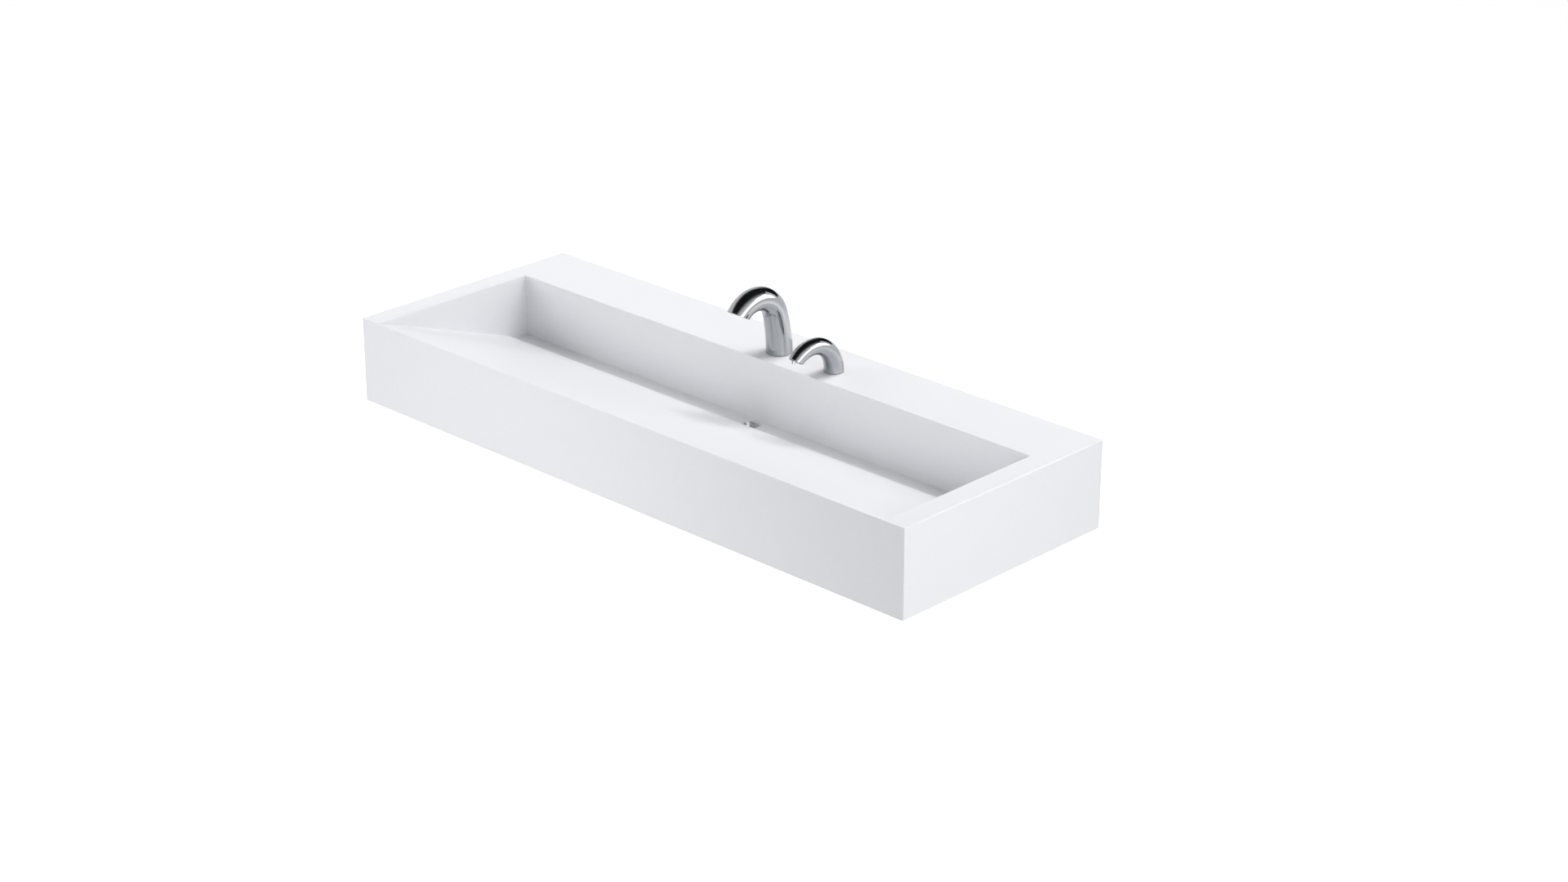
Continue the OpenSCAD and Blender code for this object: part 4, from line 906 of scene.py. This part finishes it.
fitted(together("battery_holder", holder), black_nylon, "black_plastic", "battery_pack")

# Glass-epoxy laminate under green varnish, with its tracks showing as paler bands
laminate, tree, shader, place = finish("varnished_laminate", "#1C5A34", 0.35, ior=1.55)
bands = add(tree, "ShaderNodeTexWave", {
    "Vector": place, "Scale": 45.0, "Distortion": 6.0, "Detail": 1.0, "Detail Scale": 1.2,
}, bands_direction="DIAGONAL")
track = add(tree, "ShaderNodeMapRange", {
    "Value": bands.outputs["Fac"], "From Min": 0.62, "From Max": 0.7,
})
tracks = add(tree, "ShaderNodeMix", {
    0: track.outputs["Result"], 6: linear("#17492B"), 7: linear("#2B7545"),
}, data_type="RGBA")
tree.links.new(tracks.outputs[2], shader.inputs["Base Color"])
dress("circuit_board", laminate, 0.0002)

# Black packages and a row of white headers stand on the board's rear face. Each row gives the
# place along the board and up it, then the width, the height and the thickness.
CHIPS = (
    (0.020, 0.034, 0.014, 0.014, 0.0016), (0.050, 0.044, 0.010, 0.006, 0.0017),
    (0.050, 0.028, 0.010, 0.006, 0.0017), (0.085, 0.048, 0.012, 0.007, 0.0030),
)
HEADERS = tuple((along, 0.003, 0.012, 0.006, 0.006) for along in (0.012, 0.034, 0.056, 0.078))
board_low, board_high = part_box("circuit_board")


def blocks(name, rows):
    """The blocks that rows of sizes give on the board's face, as one piece."""
    pieces = []
    for along, up, width, tall, thick in rows:
        x, y, z = board_low.x + along, board_high.y, board_low.z + up
        pieces.append(brick((x, y, z), (x + width, y + thick, z + tall)))
    return together(name, pieces)


fitted(blocks("board_chips", CHIPS), black_nylon, "black_plastic")
fitted(blocks("board_headers", HEADERS), white_plastic, "white_plastic")


# ---------------------------------------------------------------- the solenoid valve
# A forged brass body on a foot, with a sleeve that the coil slides over. The coil is potted in
# black nylon, and the steel plunger inside the sleeve opens the way for the water.
dress("valve_body", turned_brass, 0.0008, 3)
dress("valve_coil", black_nylon, 0.0010, 3)
dress("valve_plunger", stainless, 0.0003)


# ---------------------------------------------------------------- the mixing valve and its knob
# A brass mixing valve with a threaded inlet for hot and one for cold water blends them once,
# when it is fitted. Its red ABS knob has flutes for the fingers.
dress("mixing_valve", turned_brass, 0.0008, 3)

# Red ABS from a fine-eroded mould: an even colour with a low gloss
red_abs, tree, shader, place = finish("moulded_red_abs", "#9E1B18", 0.35, ior=1.54)
mottle(tree, shader, place, 0.008, "#98191A", "#A6201B", "Base Color")
grain(tree, shader, place, 0.0006, 0.00002)
dress("mixing_knob", red_abs, 0.0009, 3)
for name, x in (("hot_inlet_thread", -0.141), ("cold_inlet_thread", -0.095)):
    thread(
        name, Vector((x, -0.118, 0.0)), radius=0.00988, low=-0.0265, high=-0.0105, pitch=0.0018,
        metal=turned_brass,
    )


# ---------------------------------------------------------------- the studio
# A pale floor at the height it has under a trough with its rim 864 mm up, soft lamps, and
# cards that only the chrome sees. They aren't part of the object.
STUDIO_FLOOR = -0.765


def card(name, centre, normal, width, height, material):
    """A flat stage sheet that faces along its normal."""
    normal = Vector(normal).normalized()
    level = abs(normal.z) > 0.99
    across = Vector((1, 0, 0)) if level else normal.cross(Vector((0, 0, 1))).normalized()
    up = normal.cross(across).normalized()
    corners = [
        Vector(centre) + across * width * sx / 2 + up * height * sz / 2
        for sx, sz in ((-1, -1), (1, -1), (1, 1), (-1, 1))
    ]
    mesh = bpy.data.meshes.new(name)
    mesh.from_pydata([tuple(c) for c in corners], [], [(0, 1, 2, 3)])
    mesh.materials.append(material)
    piece = new_piece(name, mesh)
    return piece


def seen(tree, path):
    """1 for a ray from the camera, off gloss or through glass, and 0 for the light that falls."""
    first = add(tree, "ShaderNodeMath", {
        0: path["Is Camera Ray"], 1: path["Is Glossy Ray"],
    }, operation="MAXIMUM")
    return add(tree, "ShaderNodeMath", {
        0: first.outputs[0], 1: path["Is Transmission Ray"],
    }, operation="MAXIMUM").outputs[0]


# White seamless paper. It is lifted to white where it is seen, keeps the object's shadow, and
# is open to the camera from below, so that the underside can be looked at.
paper, tree, shader, place = finish("studio_paper_white", "#F4F4F4", 0.9)
path = add(tree, "ShaderNodeLightPath").outputs
lift = add(tree, "ShaderNodeMath", {0: seen(tree, path), 1: 0.75}, operation="MULTIPLY")
shader.inputs["Emission Color"].default_value = (1, 1, 1, 1)
tree.links.new(lift.outputs[0], shader.inputs["Emission Strength"])
below = add(tree, "ShaderNodeMath", {
    0: path["Is Camera Ray"], 1: add(tree, "ShaderNodeNewGeometry").outputs["Backfacing"],
}, operation="MULTIPLY")
open_below = add(tree, "ShaderNodeMixShader", {
    0: below.outputs[0], 1: shader.outputs[0],
    2: add(tree, "ShaderNodeBsdfTransparent").outputs[0],
})
tree.links.new(open_below.outputs[0], tree.nodes["Material Output"].inputs["Surface"])
card("studio_floor", (0, 0, STUDIO_FLOOR), (0, 0, 1), 60, 60, paper)


def for_gloss_only(sheet):
    """Keeps a card out of the picture and off the lighting, so that only gloss mirrors it."""
    sheet.visible_camera = False
    sheet.visible_diffuse = False
    sheet.visible_shadow = False
    sheet.visible_transmission = False


# Black felt for the two flags. Past 0.6 m to the right and 0.9 m to the left it is painted with a
# white glow, so that the chrome's dark stripe ends softly.
black_felt, tree, shader, place = finish("studio_black_felt", "#060606", 1.0)
along = add(tree, "ShaderNodeSeparateXYZ", {0: place}).outputs["X"]
right_fade = add(tree, "ShaderNodeMapRange", {
    "Value": along, "From Min": 0.6, "From Max": 2.6, "To Max": 0.9,
}, interpolation_type="SMOOTHSTEP")
left_fade = add(tree, "ShaderNodeMapRange", {
    "Value": along, "From Min": -0.9, "From Max": -2.5, "To Max": 0.9,
}, interpolation_type="SMOOTHSTEP")
# Painted white glow that rises towards the flags' ends
felt_end_glow = add(tree, "ShaderNodeMath", {
    0: right_fade.outputs["Result"], 1: left_fade.outputs["Result"],
}, operation="ADD")
shader.inputs["Emission Color"].default_value = (1, 1, 1, 1)
tree.links.new(felt_end_glow.outputs[0], shader.inputs["Emission Strength"])
for_gloss_only(card("studio_ceiling_flag", (0.05, 0.15, 2.0), (0, 0, -1), 5.1, 4.7, black_felt))
for_gloss_only(card("studio_back_flag", (-1.95, 2.25, 1.25), (0.15, -1, 0), 5.3, 1.55, black_felt))

# A pale wall to the right, lit most along its foot: the bright band beside the dark stripe
pale_wall, tree, shader, place = finish("studio_pale_wall", "#FFFFFF", 1.0)
shader.inputs["Emission Color"].default_value = (1, 1, 1, 1)
up_wall = add(tree, "ShaderNodeSeparateXYZ", {0: place}).outputs["Z"]
glow = add(tree, "ShaderNodeMapRange", {
    "Value": up_wall, "From Min": 1.2, "From Max": 1.85, "To Min": 2.8, "To Max": 1.0,
}, interpolation_type="SMOOTHSTEP")
tree.links.new(glow.outputs["Result"], shader.inputs["Emission Strength"])
for_gloss_only(card("studio_right_wall", (2.85, 1.4, 1.15), (-0.88, -0.47, 0), 4.6, 1.4, pale_wall))


def softbox(name, place, target, width, height, watts, in_gloss=True):
    """A lamp behind a rectangular diffuser, aimed at a target, that the camera doesn't see."""
    light = bpy.data.lights.new(name, "AREA")
    light.shape = "RECTANGLE"
    light.size = width
    light.size_y = height
    light.energy = watts
    lamp = new_piece(name, light)
    lamp.location = place
    lamp.rotation_euler = (Vector(target) - Vector(place)).to_track_quat("-Z", "Y").to_euler()
    lamp.visible_camera = False
    lamp.visible_glossy = in_gloss


MIDDLE = (0, -0.3, 0)  # of the trough
softbox("left_softbox", (-3.2, -0.2, 1.2), MIDDLE, 1.6, 1.6, watts=33, in_gloss=False)
softbox("front_left_softbox", (-2.2, -2.6, 1.2), MIDDLE, 1.6, 1.6, watts=26.5, in_gloss=False)
softbox(
    "low_front_softbox", (-0.2, -1.7, 0.1), (-0.1, -0.57, -0.08), 0.9, 0.5, watts=4.5,
    in_gloss=False,
)
softbox("right_softbox", (2.1, -0.7, 0.5), (0.76, -0.35, 0), 0.9, 0.9, watts=11)
softbox("back_right_softbox", (2.4, 2.0, 1.6), MIDDLE, 1.6, 1.6, watts=25)
softbox("overhead_softbox", (0.3, 0.9, 3.0), MIDDLE, 1.4, 1.4, watts=66, in_gloss=False)

# The room around is white where it is seen, and dim as a light
world = bpy.data.worlds.new("studio")
bpy.context.scene.world = world
world.use_nodes = True
tree = world.node_tree
tree.nodes.clear()
level = add(tree, "ShaderNodeMapRange", {
    "Value": seen(tree, add(tree, "ShaderNodeLightPath").outputs), "To Min": 0.2, "To Max": 1.0,
})
sky = add(tree, "ShaderNodeBackground", {
    "Color": (1, 1, 1, 1), "Strength": level.outputs["Result"],
})
add(tree, "ShaderNodeOutputWorld", {"Surface": sky.outputs[0]})

# The camera stands to the right, in front of and above the trough, with a long lens
CAMERA_PLACE = (4.2137, -4.5069, 2.4916)
CAMERA_AIM = Vector((-0.6350, 0.6661, -0.3911))
CAMERA_ROLL = math.radians(0.22)
FOCAL_LENGTH = 73.54
bpy.context.scene.view_settings.view_transform = "Standard"
lens = bpy.data.cameras.new("camera")
lens.lens = FOCAL_LENGTH
lens.sensor_width = 36
camera = new_piece("camera", lens)
camera.location = CAMERA_PLACE
camera.rotation_euler = CAMERA_AIM.to_track_quat("-Z", "Y").to_euler()
camera.rotation_euler.rotate_axis("Z", CAMERA_ROLL)
bpy.context.scene.camera = camera
